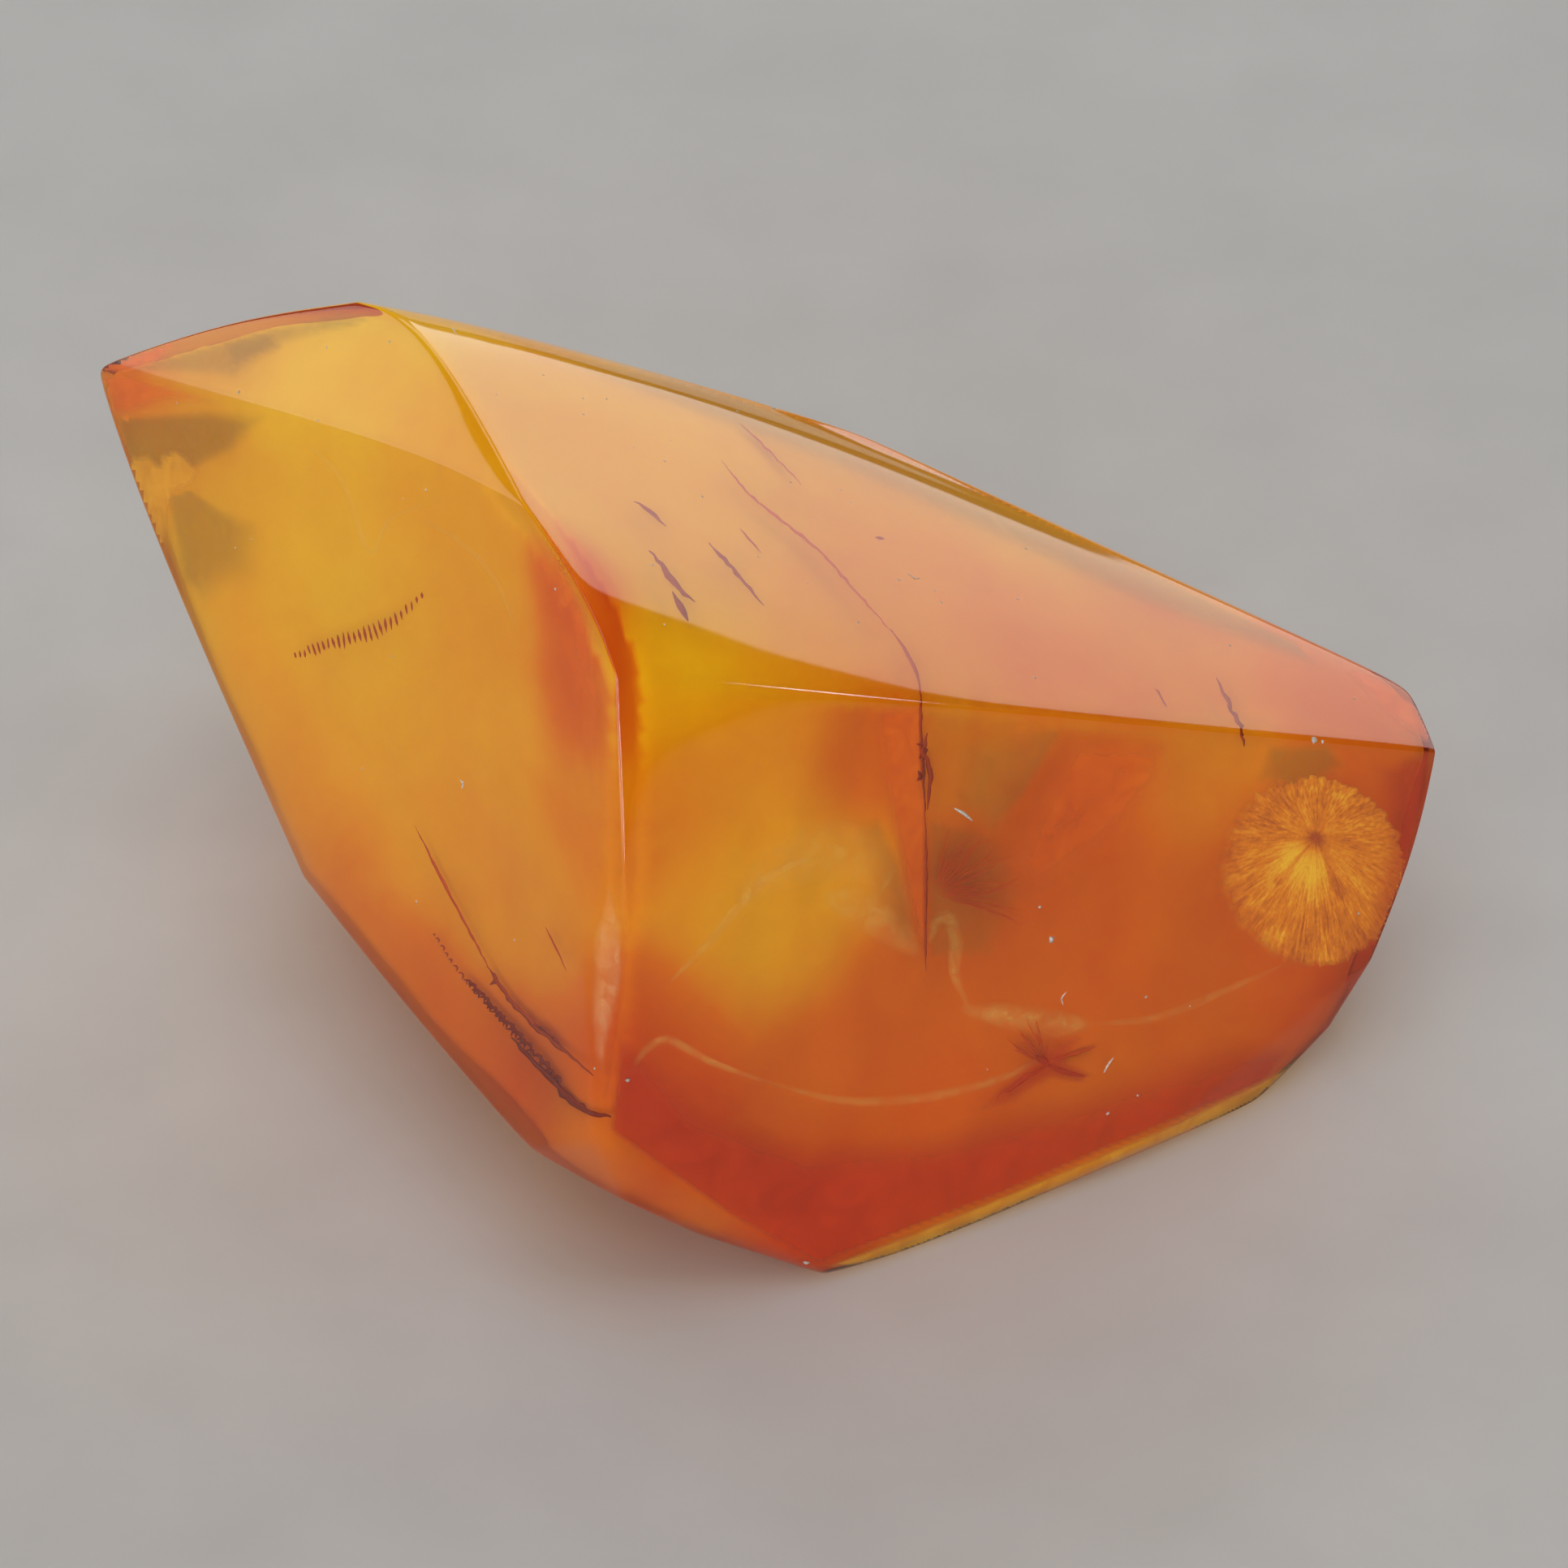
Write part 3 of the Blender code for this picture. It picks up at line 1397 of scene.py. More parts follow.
@dataclass
class Dust(Inclusion):
    """The dust on the polish: lint, flakes and fine specks."""

    lint: Sequence[Lint]
    flakes: Sequence[tuple[Pixel, float]]
    specks: int = 90
    speck_mm: Range = (0.03, 0.07)
    spread_mm: tuple[Range, Range] = ((-26.0, 23.0), (-15.0, 17.0))
    fall_mm: float = 60.0
    hair_rings: int = 12
    flake_sides: int = 7
    flake_reach: Range = (0.55, 1.25)
    flake_top: float = 0.5
    flake_bottom: float = 0.1
    finish: DustFlake = field(default_factory=DustFlake)
    seed: int = 5

    def add_flake(
        self,
        draft: Draft,
        foot: Vector,
        normal: Vector,
        size_mm: float,
        dice: random.Random,
    ) -> None:
        """Lay one flake on the surface.

        Args:
            draft: The draft that takes it.
            foot: The point on the surface.
            normal: The outward normal there.
            size_mm: The flake's half width.
            dice: The seeded chance that gives it its outline.
        """
        side = normal.orthogonal().normalized()
        front = normal.cross(side)
        start, sides = len(draft.points), self.flake_sides
        for index in range(sides):
            turn = 2 * math.pi * index / sides
            reach = size_mm * dice.uniform(*self.flake_reach) * MM
            out = side * math.cos(turn) + front * math.sin(turn)
            draft.points.append(foot + out * reach)
        draft.points.append(foot + normal * size_mm * self.flake_top * MM)
        draft.points.append(foot - normal * size_mm * self.flake_bottom * MM)
        draft.values.extend([1.0] * (sides + 2))
        for index in range(sides):
            a, b = start + index, start + (index + 1) % sides
            draft.faces.append((a, b, start + sides))
            draft.faces.append((b, a, start + sides + 1))

    def build(self, stone: Stone) -> bpy.types.Object:
        """Build the dust."""
        dice = random.Random(self.seed)
        draft = Draft()
        for hair in self.lint:
            line = smooth_path(hair.path, self.hair_rings)
            sides = across(line)
            rings = []
            for index, (spot, side) in enumerate(zip(line, sides)):
                foot, normal = stone.surface_at(spot)
                beside, _ = stone.surface_at(spot + side * 3)
                flank = (beside - foot).normalized()
                along = 0.1 + 0.8 * index / (self.hair_rings - 1)
                half = hair.width_mm / 2 * MM * math.sin(math.pi * along)
                up = normal * half
                rings.append([foot + flank * half, foot + up * 1.6, foot - flank * half, foot - up])
            draft.add_tube(rings, 1.0)
        for pixel, size_mm in self.flakes:
            foot, normal = stone.surface_at(pixel)
            self.add_flake(draft, foot, normal, size_mm, dice)
        for _ in range(self.specks):
            x, y = (dice.uniform(*span) for span in self.spread_mm)
            high = Vector((x, y, self.fall_mm)) * MM
            foot, normal, _, _ = stone.tree.ray_cast(high, Vector((0.0, 0.0, -1.0)))
            size_mm = dice.uniform(*self.speck_mm)
            if foot is not None:
                self.add_flake(draft, foot, normal, size_mm, dice)
        return draft.piece("surface_dust", "shade", self.finish.material())


@dataclass(frozen=True)
class Panel:
    """One soft light panel, which faces the stone."""

    name: str
    location: Point
    size: Range
    watts: float
    aim: Point = (0.0, 0.0, 0.012)

    def hang(self) -> None:
        """Hang the panel, out of the camera's sight."""
        data = bpy.data.lights.new(self.name, "AREA")
        data.shape = "RECTANGLE"
        data.size, data.size_y = self.size
        data.energy = self.watts
        panel = bpy.data.objects.new(self.name, data)
        panel.location = self.location
        way = Vector(self.aim) - Vector(self.location)
        panel.rotation_mode = "QUATERNION"
        panel.rotation_quaternion = way.to_track_quat("-Z", "Y")
        panel.visible_camera = False
        bpy.context.scene.collection.objects.link(panel)


@dataclass
class Studio:
    """A pale table under soft light."""

    panels: Sequence[Panel]
    table: TableTop = field(default_factory=TableTop)
    table_size: float = 6.0
    sky: str = "#8C8E92"
    sky_strength: float = 0.35
    bounces: int = 7
    diffuse_bounces: int = 2

    def add_table(self) -> None:
        """Lay the pale matte table top that the stone rests on."""
        mesh = bpy.data.meshes.new("table_top")
        bm = bmesh.new()
        bmesh.ops.create_grid(bm, x_segments=1, y_segments=1, size=self.table_size / 2)
        bm.to_mesh(mesh)
        bm.free()
        floor = bpy.data.objects.new("table_top", mesh)
        bpy.context.scene.collection.objects.link(floor)
        mesh.materials.append(self.table.material())

    def add_sky(self) -> None:
        """Fill the room with even neutral light."""
        world = bpy.data.worlds.new("studio")
        world.use_nodes = True
        back = world.node_tree.nodes["Background"]
        back.inputs["Color"].default_value = linear(self.sky)
        back.inputs["Strength"].default_value = self.sky_strength
        bpy.context.scene.world = world

    def build(self) -> None:
        """Set up the table, the sky and the panels, and show colours as they are."""
        self.add_table()
        self.add_sky()
        for panel in self.panels:
            panel.hang()
        scene = bpy.context.scene
        scene.view_settings.view_transform = "Standard"
        scene.cycles.max_bounces = self.bounces
        scene.cycles.diffuse_bounces = self.diffuse_bounces


# The panels' mirror images give the polish its soft sheens, each on its own facets.
PANELS: tuple[Panel, ...] = (
    Panel("overhead", (-0.10, -0.10, 0.80), (0.7, 0.7), 1.75),
    Panel("front_high", (-0.06, -0.54, 0.60), (0.3, 0.3), 0.5),
    Panel("front_left", (-0.42, -0.62, 0.16), (0.45, 0.32), 1.1),
    Panel("front_left_strip", (-0.40, -0.60, 0.12), (0.02, 0.2), 0.12),
    Panel("front_right", (0.22, -0.74, 0.12), (0.16, 0.16), 0.9),
    Panel("right", (0.70, -0.06, 0.36), (0.08, 0.08), 0.2),
    Panel("behind_right", (0.29, 0.66, 0.25), (0.66, 0.36), 1.3),
    Panel("behind_high", (-0.31, 0.61, 0.51), (0.5, 0.4), 0.8),
    Panel("left", (-0.62, 0.29, 0.10), (0.5, 0.24), 0.42),
)

TOP_CORNERS: dict[str, Point] = {
    "left_tip": (-26.7, 16.05, 18.5),
    "left_ridge_high": (-14.4, 0.9, 26.9),
    "brow": (-9.9, -4.8, 28.8),
    "brow_turn": (-8.6, -6.9, 28.3),
    "brow_bend": (-7.5, -8.7, 27.6),
    "prow": (-6.5, -10.6, 26.05),
    "right_ridge": (4.5, -5.7, 21.5),
    "right_tip": (23.6, 5.1, 11.6),
    "right_tip_top": (22.6, 7.9, 12.3),
    "crest_left": (-14.1, 5.5, 29.4),
    "crest_middle": (-2.3, 6.5, 24.4),
}
BACK_CORNERS: dict[str, Point] = {
    "left_shoulder": (-21.35, 12.4, 23.75),
    "top_left": (-16.7, 8.6, 27.6),
    "back_brow_left": (-10.6, 8.4, 26.6),
    "back_brow": (1.0, 9.9, 21.9),
    "back_brow_right": (18.3, 9.3, 13.4),
    "back_belly_left": (-11.0, 18.0, 12.0),
    "back_belly": (2.0, 17.6, 9.0),
    "back_belly_right": (13.0, 13.6, 6.5),
    "back_left_edge": (-22.3, 16.8, 10.8),
}
FRONT_CORNERS: dict[str, Point] = {
    "left_edge_high": (-24.25, 10.7, 14.9),
    "left_knee": (-17.9, 0.1, 7.4),
    "left_keel": (-13.9, -6.3, 6.8),
    "chin_left": (-9.2, -13.0, 6.1),
    "chin": (-6.5, -15.8, 9.0),
    "prow_middle": (-5.95, -13.2, 20.1),
    "prow_low": (-5.6, -14.3, 16.2),
    "lens_left": (-7.2, -13.7, 14.8),
    "chin_under": (-5.5, -14.7, 5.1),
    "keel_front": (-2.5, -13.5, 2.5),
    "front_foot_top": (1.7, -13.1, 1.0),
    "strip_right": (13.1, -5.7, 1.0),
    "right_edge_low": (20.1, 0.3, 2.1),
    "right_edge": (21.65, 1.5, 4.7),
    "right_edge_high": (23.05, 3.55, 8.3),
    "right_back_foot": (20.2, 6.4, 3.5),
}
BASE_CORNERS: dict[str, Point] = {
    "foot_front": (1.8, -12.4, 0.0),
    "foot_front_right": (5.0, -10.8, 0.0),
    "foot_right": (17.6, -1.6, 0.0),
    "foot_right_back": (18.8, 6.0, 0.0),
    "foot_back_right": (11.0, 13.0, 0.0),
    "foot_back": (0.0, 16.4, 0.0),
    "foot_back_left": (-11.0, 15.6, 0.0),
    "foot_left": (-15.0, 11.8, 0.0),
}

HEART_SPOTS: tuple[Spot, ...] = (
    Spot((400, 620), 1.1, 0.0, 3.2),
    Spot((430, 780), 1.1, 0.08, 4.0),
    Spot((520, 960), 1.1, 0.18, 3.5),
    Spot((600, 1100), 1.3, 0.28),
    Spot((560, 760), 1.3, 0.2),
    Spot((690, 720), 1.8, 0.95, 1.4),
    Spot((700, 860), 1.8, 0.70, 1.4),
    Spot((700, 1000), 1.6, 0.4, 1.4),
    Spot((420, 1090), 0.8, 0.50, 2.0),
    Spot((520, 1230), 0.8, 0.72, 2.0),
    Spot((630, 1340), 1.2, 0.75, 2.0),
    Spot((190, 640), 0.9, 0.15, 1.6),
    Spot((150, 475), 0.5, 0.80, 0.9),
    Spot((200, 490), 0.7, 0.50, 0.9),
    Spot((230, 530), 0.9, 0.3, 1.4),
    Spot((290, 650), 1.1, 0.1, 1.6),
    Spot((340, 950), 0.6, 0.35, 2.0),
    Spot((225, 740), 0.5, 0.15, 1.6),
    Spot((270, 840), 0.5, 0.25, 1.6),
    Spot((430, 450), 1.2, 0.0),
    Spot((560, 520), 1.3, 0.25),
    Spot((270, 440), 0.7, 0.25, 1.6),
    Spot((640, 500), 1.1, 0.12, 3.0),
    Spot((780, 600), 1.1, 0.15, 3.0),
    Spot((950, 660), 1.1, 0.25, 3.0),
    Spot((1120, 730), 1.2, 0.35, 3.0),
    Spot((1300, 790), 1.3, 0.50),
    Spot((1470, 850), 1.3, 0.40),
    Spot((1680, 890), 0.6, 0.7, 2.0),
    Spot((1745, 905), 0.25, 0.7, 1.2),
    Spot((700, 455), 1.2, 0.2, 2.0),
    Spot((1050, 575), 1.2, 0.3, 2.0),
    Spot((1400, 715), 1.2, 0.5, 2.0),
    Spot((880, 770), 1.4, 0.05, 1.8),
    Spot((800, 850), 1.4, 0.18, 1.8),
    Spot((1000, 850), 1.6, 0.30, 1.8),
    Spot((930, 960), 1.7, 0.25, 2.2),
    Spot((960, 1160), 1.5, 0.12, 2.4),
    Spot((820, 1000), 1.8, 0.45, 1.6),
    Spot((1080, 920), 1.9, 0.6, 1.4),
    Spot((1210, 930), 1.8, 0.42, 1.4),
    Spot((1340, 1000), 1.9, 0.65, 1.4),
    Spot((1500, 950), 1.8, 0.38, 1.8),
    Spot((1300, 1160), 1.9, 0.68, 3.0),
    Spot((1120, 1300), 1.9, 0.62),
    Spot((1000, 1330), 1.9, 0.45, 1.8),
    Spot((830, 1310), 1.8, 0.85, 2.0),
    Spot((900, 1450), 0.8, 0.95, 2.4),
    Spot((1000, 1520), 0.4, 1.0, 2.0),
    Spot((1200, 1420), 0.8, 0.9, 2.0),
    Spot((1450, 1280), 1.0, 0.75, 2.0),
    Spot((1600, 1150), 1.9, 0.7, 2.6),
    Spot((1720, 980), 0.9, 0.8, 1.4),
    Spot((1640, 1205), 0.5, 0.8, 2.0),
    Spot((720, 1418), 0.4, 0.6, 1.5),
    Spot((880, 1496), 0.4, 0.6, 1.5),
    Spot((1250, 1452), 0.35, 0.6, 1.8),
    Spot((1450, 1375), 0.35, 0.5, 1.8),
)
HEART_BACK_SPOTS: tuple[BackSpot, ...] = (
    BackSpot((-25.0, 15.5, 17.0), 0.25, 0.5, 2.5),
    BackSpot((-26.6, 16.0, 18.4), 0.08, 0.5, 1.2),
    BackSpot((13.1, -5.7, 1.0), 0.12, 0.6, 2.2),
    BackSpot((7.0, -9.4, 0.9), 0.2, 0.6, 2.2),
    BackSpot((1.7, -13.1, 1.0), 0.35, 0.9, 1.8),
    BackSpot((20.1, 0.3, 2.1), 0.12, 0.8, 1.8),
    BackSpot((-21.3, 12.4, 23.7), 0.3, 0.25, 2.6),
    BackSpot((-16.7, 8.6, 27.6), 0.3, 0.1, 2.6),
    BackSpot((-14.1, 5.5, 29.4), 0.4, 0.1, 2.2),
    BackSpot((-2.3, 7.5, 24.6), 0.5, 0.2, 3.0),
    BackSpot((8.0, 9.0, 18.5), 0.5, 0.3, 3.0),
    BackSpot((20.0, 8.5, 13.0), 0.3, 0.6, 2.6),
    BackSpot((23.0, 6.5, 12.0), 0.2, 0.6, 1.6),
    BackSpot((22.6, 3.5, 8.0), 0.25, 0.8, 1.8),
    BackSpot((-18.0, 15.0, 19.0), 0.9, 0.2),
    BackSpot((-6.0, 15.0, 19.0), 1.2, 0.0, 5.0),
    BackSpot((8.0, 13.0, 14.0), 1.2, 0.1, 5.0),
    BackSpot((0.0, 17.0, 9.0), 1.3, 0.2, 5.0),
    BackSpot((14.0, 12.0, 7.0), 1.1, 0.6),
    BackSpot((20.0, 6.0, 5.0), 0.6, 0.9, 3.0),
    BackSpot((-4.0, 4.0, 0.0), 0.4, 0.5, 7.0),
    BackSpot((8.0, -4.0, 0.0), 0.3, 0.6, 6.0),
    BackSpot((-14.0, 4.0, 4.0), 0.7, 0.5, 5.0),
)
CRACKS: tuple[Crack, ...] = (
    # The long crack down the big facet, from the top facet to its tip.
    Crack(((889, 568), (930, 615), (1005, 675), (1060, 735), (1100, 780)),
          0.10, 0.5, 0.4, 0.8, 0.1),
    Crack(((1098, 775), (1118, 805), (1131, 835), (1135, 862)), 0.12, 0.5, 0.5, 0.5, 0.35),
    Crack(((1135, 855), (1134, 900), (1137, 950), (1140, 1000)), 0.16, 0.5, 0.7, 0.8, 0.6),
    Crack(((1139, 990), (1141, 1060), (1140, 1130), (1141, 1196)), 0.12, 0.5, 0.7, 0.5, 0.45),
    Crack(((1143, 903), (1138, 925), (1143, 942), (1146, 968), (1142, 998)),
          0.20, 0.35, 0.6, 2.0, 0.6),
    Crack(((1130, 916), (1140, 924), (1132, 934)), 0.20, 0.45, 0.4, 1.0, 0.8),
    Crack(((1131, 950), (1136, 957), (1130, 962)), 0.16, 0.45, 0.4, 1.0, 0.8),
    # Short strokes in the top facet.
    Crack(((781, 617), (800, 630), (821, 649)), 0.14, 0.4, 0.4, 1.0, 0.55),
    Crack(((800, 678), (818, 700), (834, 722), (856, 742)), 0.20, 0.4, 0.5, 1.5, 0.6),
    Crack(((828, 729), (838, 746), (849, 765)), 0.22, 0.4, 0.5, 2.0, 0.7),
    Crack(((873, 669), (905, 703), (941, 746)), 0.15, 0.4, 0.5, 1.0, 0.55),
    Crack(((912, 651), (923, 664), (938, 681)), 0.07, 0.4, 0.3, 1.0, 0.3),
    Crack(((911, 520), (948, 556), (988, 597)), 0.07, 0.5, 0.3, 1.0, 0.05),
    Crack(((1497, 835), (1512, 862), (1520, 880)), 0.16, 0.5, 0.4, 2.0, 0.5),
    Crack(((1512, 868), (1528, 892), (1533, 920)), 0.16, 0.5, 0.5, 2.0, 0.6),
    Crack(((1424, 848), (1430, 858), (1438, 871)), 0.10, 0.5, 0.3, 1.0, 0.4),
    Crack(((1078, 662), (1090, 664)), 0.10, 0.4, 0.2, 0.0, 0.5),
    # The two long cracks low on the left facet.
    Crack(((511, 1016), (545, 1085), (580, 1150), (604, 1196)), 0.11, 0.4, 0.4, 0.6, 0.25),
    Crack(((600, 1190), (625, 1228), (655, 1260), (690, 1290), (732, 1325)),
          0.20, 0.4, 0.5, 1.5, 0.6),
    Crack(((604, 1196), (612, 1206), (604, 1214)), 0.16, 0.4, 0.3, 1.0, 0.7),
    Crack(((655, 1262), (675, 1270), (700, 1296)), 0.14, 0.4, 0.3, 1.5, 0.7),
    Crack(((630, 1278), (665, 1315), (700, 1352), (728, 1372), (753, 1376)),
          0.26, 0.4, 0.5, 1.5, 0.95),
    Crack(((672, 1142), (684, 1165), (698, 1196)), 0.07, 0.4, 0.3, 0.5, 0.3),
    # The small star in the low right of the big facet.
    Crack(((1228, 1352), (1262, 1330), (1292, 1312)), 0.16, 0.4, 0.4, 1.5, 0.3),
    Crack(((1288, 1312), (1312, 1320), (1337, 1326)), 0.18, 0.4, 0.4, 1.0, 0.35),
    Crack(((1276, 1300), (1284, 1306), (1296, 1316)), 0.28, 0.4, 0.4, 1.0, 0.6),
    Crack(((1290, 1310), (1318, 1300), (1350, 1290)), 0.12, 0.4, 0.4, 1.0, 0.1),
)
SLIT_ROWS: tuple[CrackSet, ...] = (
    Fan((1150, 1105), 14, 120, -80, 14, 44, 0.035, 0.5, 0.1),
    Fan((1290, 1312), 8, 60, -160, -95, 14, 0.06, 0.5, 0.1),
    SlitRow(((364, 808), (400, 795), (440, 784), (480, 768), (520, 734)), 26, Slit.STRAIGHT,
            8, 20, 7, 78, 0.09, 0.25, 0.45),
    SlitRow(((534, 1152), (551, 1180), (572, 1210)),
            8, Slit.CRESCENT, 4, 8, 10, 60, 0.08, 0.4, 0.55),
    SlitRow(((575, 1212), (598, 1240), (622, 1266), (648, 1294), (684, 1332)), 20, Slit.CRESCENT,
            13, 17, 17, 52, 0.15, 0.4, 0.9),
)
# Healed fractures, and one painted reflection veil.
HEALED_AND_PAINTED_VEIL: tuple[Sheet, ...] = (
    Patch(((820, 1216), (870, 1165), (925, 1100), (965, 1070), (1010, 1055)), 16, 0.34),
    Patch(((905, 1115), (960, 1070), (1030, 1050), (1090, 1080), (1120, 1150)), 90, 0.26, 0.9),
    Patch(((1010, 1100), (1080, 1130), (1135, 1178)), 60, 0.34, 0.8),
    Patch(((1146, 1165), (1152, 1140), (1168, 1130), (1178, 1160), (1176, 1200), (1195, 1245)),
          22, 0.42),
    Patch(((1180, 1243), (1240, 1252), (1310, 1262), (1345, 1262)), 40, 0.42),
    Patch(((1340, 1262), (1420, 1255), (1500, 1225), (1590, 1185)), 14, 0.22),
    Patch(((770, 1332), (795, 1295), (825, 1282), (880, 1310), (960, 1338)), 14, 0.34),
    Patch(((940, 1332), (1040, 1356), (1140, 1352), (1230, 1330), (1290, 1300)), 16, 0.28),
    Patch(((520, 640), (570, 670), (610, 715), (640, 785)), 9, 0.16, 0.6),
    Patch(((370, 540), (420, 590), (455, 680), (480, 640), (530, 620)), 10, 0.14, 0.6),
    # A painted reflection: the pale pink veil on the small lens facet low on the prow, drawn as a
    # film close below the polish.
    Pool(((752, 1085, 8), (764, 1140, 6), (768, 1200, 6), (748, 1290, 8), (738, 1345, 8),
          (726, 1250, 14), (728, 1160, 14)), 0.35, 0.25),
)
OPEN_SHEETS: tuple[Sheet, ...] = (
    Pool(((1066, 866, 30), (1134, 866, 5), (1140, 1000, 4), (1141, 1185, 4), (1120, 1120, 12),
          (1094, 1010, 16)), 0.80, 0.6),
    Pool(((1310, 898, 40), (1450, 906, 30), (1430, 965, 18), (1355, 1055, 26), (1265, 1130, 60),
          (1215, 1070, 50)), 0.60, 0.6),
    Pool(((652, 640, 14), (695, 690, 8), (728, 770, 8), (738, 850, 8), (736, 1010, 30),
          (715, 960, 40), (672, 800, 50), (640, 700, 50)), 0.60, 0.5),
    Pool(((1240, 1262, 20), (1290, 1256, 16), (1350, 1270, 20), (1300, 1290, 20)), 0.50, 0.5),
    Pool(((122, 458, 8), (150, 460, 6), (250, 484, 14), (285, 500, 24), (205, 504, 24),
          (134, 520, 16)), 0.70, 0.3),
    Pool(((114, 456, 3), (135, 438, 3), (165, 429, 4), (225, 414, 6), (200, 446, 10),
          (150, 461, 4)), 0.90, 0.1),
    Pool(((1640, 810, 8), (1700, 833, 6), (1745, 868, 5), (1768, 905, 4), (1758, 918, 6),
          (1700, 880, 16)), 0.70, 0.1, 2.5),
)
RED_DEPTHS: tuple[Sheet, ...] = (
    Pool(((757, 1270, 20), (800, 1290, 40), (870, 1360, 50), (1000, 1400, 60), (1160, 1385, 60),
          (1300, 1330, 80), (1500, 1262, 90), (1600, 1290, 20), (1560, 1335, 8), (1230, 1474, 6),
          (1010, 1558, 6), (900, 1500, 8), (752, 1395, 8)), 0.9, 0.16),
    Pool(((1675, 935, 60), (1762, 925, 8), (1735, 1080, 6), (1700, 1170, 8), (1650, 1240, 30),
          (1560, 1250, 60), (1680, 1140, 40), (1700, 1010, 40)), 0.6, 0.2),
    Pool(((1195, 1375, 12), (1255, 1308, 22), (1300, 1278, 18), (1345, 1270, 14), (1318, 1306, 14),
          (1352, 1326, 8), (1330, 1336, 8), (1296, 1332, 12), (1250, 1362, 18)), 0.62, 0.25),
)
CLEAR_LENSES: tuple[Sheet, ...] = (
    Pool(((560, 396, 8), (690, 432, 8), (850, 472, 6), (1010, 520, 6), (1200, 598, 6),
          (1400, 694, 6), (1600, 790, 8), (1640, 830, 20), (1560, 805, 20), (1400, 745, 20),
          (1200, 655, 20), (1020, 575, 20), (850, 512, 20), (690, 452, 20)), 0.50, 0.3),
    Pool(((205, 612, 5), (235, 603, 4), (270, 625, 8), (330, 640, 50), (325, 720, 60),
          (250, 760, 60), (222, 720, 14)), 0.50, 0.4),
    Pool(((142, 512, 10), (260, 503, 16), (345, 505, 40), (290, 560, 20), (236, 580, 8),
          (200, 585, 8), (158, 585, 8)), 0.62, 0.42),
    Pool(((1560, 915, 16), (1640, 912, 16), (1665, 945, 20), (1605, 985, 20), (1540, 965, 30)),
         0.55, 0.4),
    Pool(((1040, 1010, 40), (1085, 1000, 20), (1108, 1060, 8), (1132, 1180, 10), (1080, 1140, 40)),
         0.36, 0.7),
    Pool(((1170, 905, 60), (1285, 890, 20), (1310, 900, 8), (1262, 985, 10), (1225, 1040, 30),
          (1160, 1000, 50)), 0.40, 0.6),
    Pool(((1145, 1010, 6), (1230, 1020, 30), (1275, 1090, 40), (1230, 1190, 40), (1145, 1180, 6)),
         0.28, 0.7),
    Pool(((275, 422, 6), (330, 412, 4), (352, 430, 5), (318, 438, 5), (285, 455, 8)), 0.40, 0.25),
    Pool(((400, 392, 14), (480, 384, 10), (440, 404, 10), (385, 412, 10)), 0.45, 0.25),
    Pool(((150, 455, 6), (300, 412, 6), (420, 383, 6), (480, 386, 10), (350, 430, 20),
          (290, 470, 20)), 0.45, 0.35),
)
CLOUD_EDGES: tuple[Sheet, ...] = (
    Pool(((152, 578, 5), (165, 562, 5), (184, 561, 5), (195, 575, 3), (200, 562, 4), (216, 554, 5),
          (230, 563, 5), (244, 578, 8), (240, 596, 8), (214, 604, 5), (206, 628, 5), (203, 690, 8),
          (192, 750, 12), (172, 690, 6), (160, 640, 6)), 0.85, 0.3),
    Pool(((1015, 1562, 3), (1100, 1528, 6), (1250, 1467, 6), (1450, 1382, 6), (1600, 1307, 7),
          (1616, 1330, 3), (1450, 1411, 3), (1250, 1499, 3), (1100, 1555, 3)), 0.75, 0.1, 2.5),
)
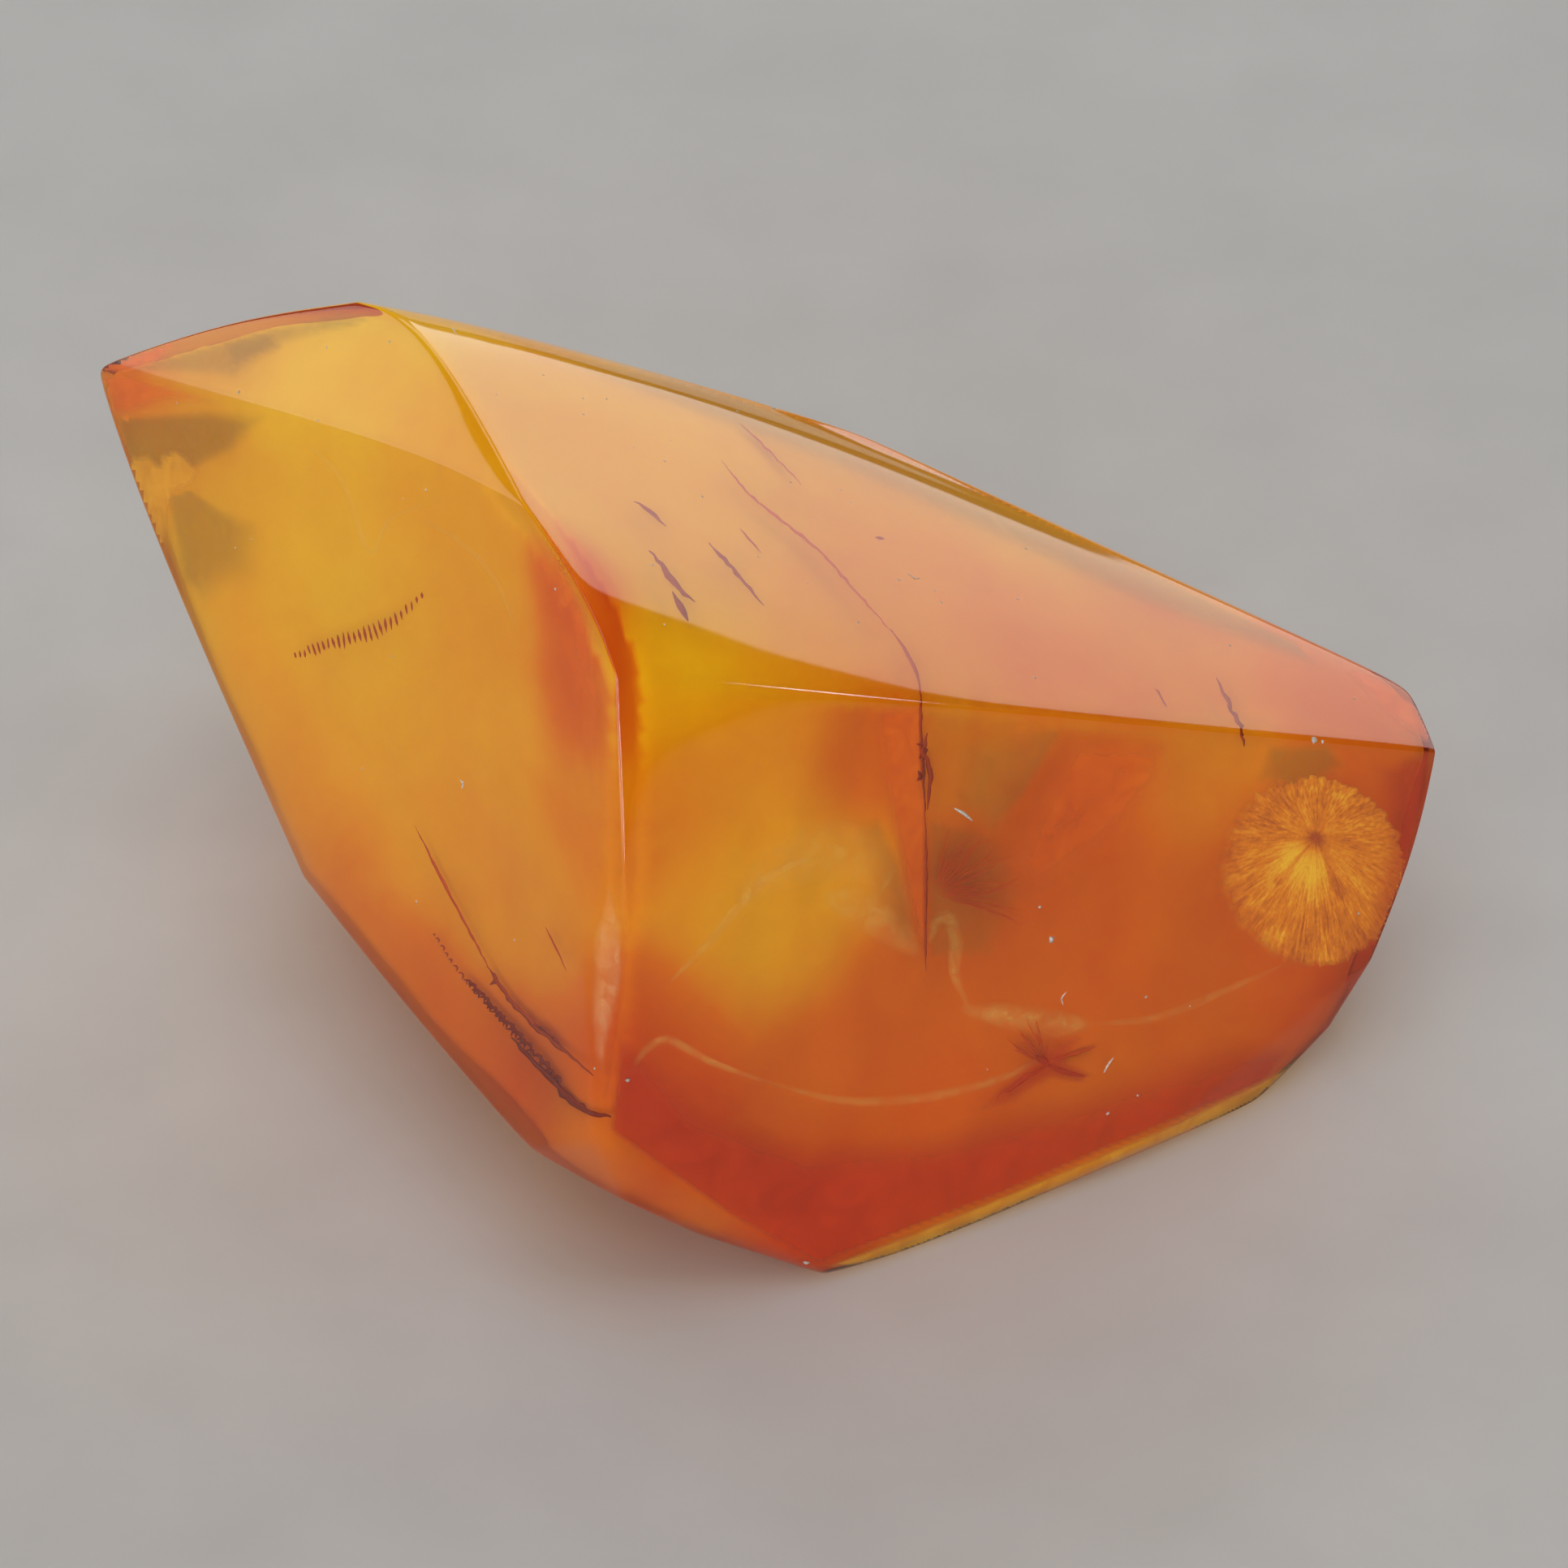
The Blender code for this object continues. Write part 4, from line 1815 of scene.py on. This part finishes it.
FILM_SETS: tuple[Films, ...] = (
    Films("cloud_edges", Film("milky_resin_skin", "#F4B82C", "#E8A01C", 1.5, 0.2), CLOUD_EDGES),
    Films("healed_fractures_and_painted_veil", Film("healed_fracture_and_painted_veil_film", "#F7DDBE", "#E8A98A"), HEALED_AND_PAINTED_VEIL),
    Films(
        "open_fractures", Film("open_fracture_film", "#F0780C", "#E2660A", 1.5, 0.2), OPEN_SHEETS
    ),
    Films("red_depths", Film("aged_red_resin", "#CE3C02", "#BC3000", 2.0, 0.12), RED_DEPTHS),
    Films("clear_lenses", Film("clear_resin_lens", "#B0842C", "#966A1C", 1.2, 0.3), CLEAR_LENSES),
)
LINT: tuple[Lint, ...] = (
    Lint(((1176, 996), (1187, 1002), (1198, 1011)), 0.12),
    Lint(((1310, 1238), (1308, 1230), (1314, 1222)), 0.06),
    Lint(((1360, 1322), (1365, 1312), (1372, 1303)), 0.08),
    Lint(((567, 961), (571, 965), (569, 972)), 0.08),
    Lint(((556, 404), (560, 408), (562, 413)), 0.06),
    Lint(((1118, 706), (1128, 713), (1134, 712)), 0.05),
)
FLAKES: tuple[tuple[Pixel, float], ...] = (
    ((1295, 1158), 0.13),
    ((1620, 912), 0.14),
    ((1630, 914), 0.08),
    ((1275, 835), 0.07),
    ((993, 1556), 0.12),
    ((953, 503), 0.10),
    ((446, 947), 0.06),
    ((513, 1111), 0.06),
    ((290, 675), 0.05),
    ((218, 496), 0.05),
    ((773, 1331), 0.09),
    ((1365, 1372), 0.07),
    ((1402, 1350), 0.06),
    ((718, 510), 0.06),
)
SUN_SPANGLE = StressDisc("golden_stress_disc", (1613, 1074), (1621, 1032), 119.0, 0.32)


def main() -> None:
    """Build the studio, the stone and what lies in it, in order."""
    logging.basicConfig(level=logging.INFO, format="%(name)s %(message)s")
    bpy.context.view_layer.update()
    VIEW.add_camera()
    Studio(PANELS).build()
    stone = Stone({**TOP_CORNERS, **BACK_CORNERS, **FRONT_CORNERS, **BASE_CORNERS})
    stone.build()
    inclusions: tuple[Inclusion, ...] = (
        MilkyHeart(MilkyResin(), HEART_SPOTS, HEART_BACK_SPOTS),
        *FILM_SETS,
        Cracks(CRACKS, SLIT_ROWS),
        SUN_SPANGLE,
        Dust(LINT, FLAKES),
    )
    for inclusion in inclusions:
        inclusion.build(stone)


if __name__ == "__main__":
    main()
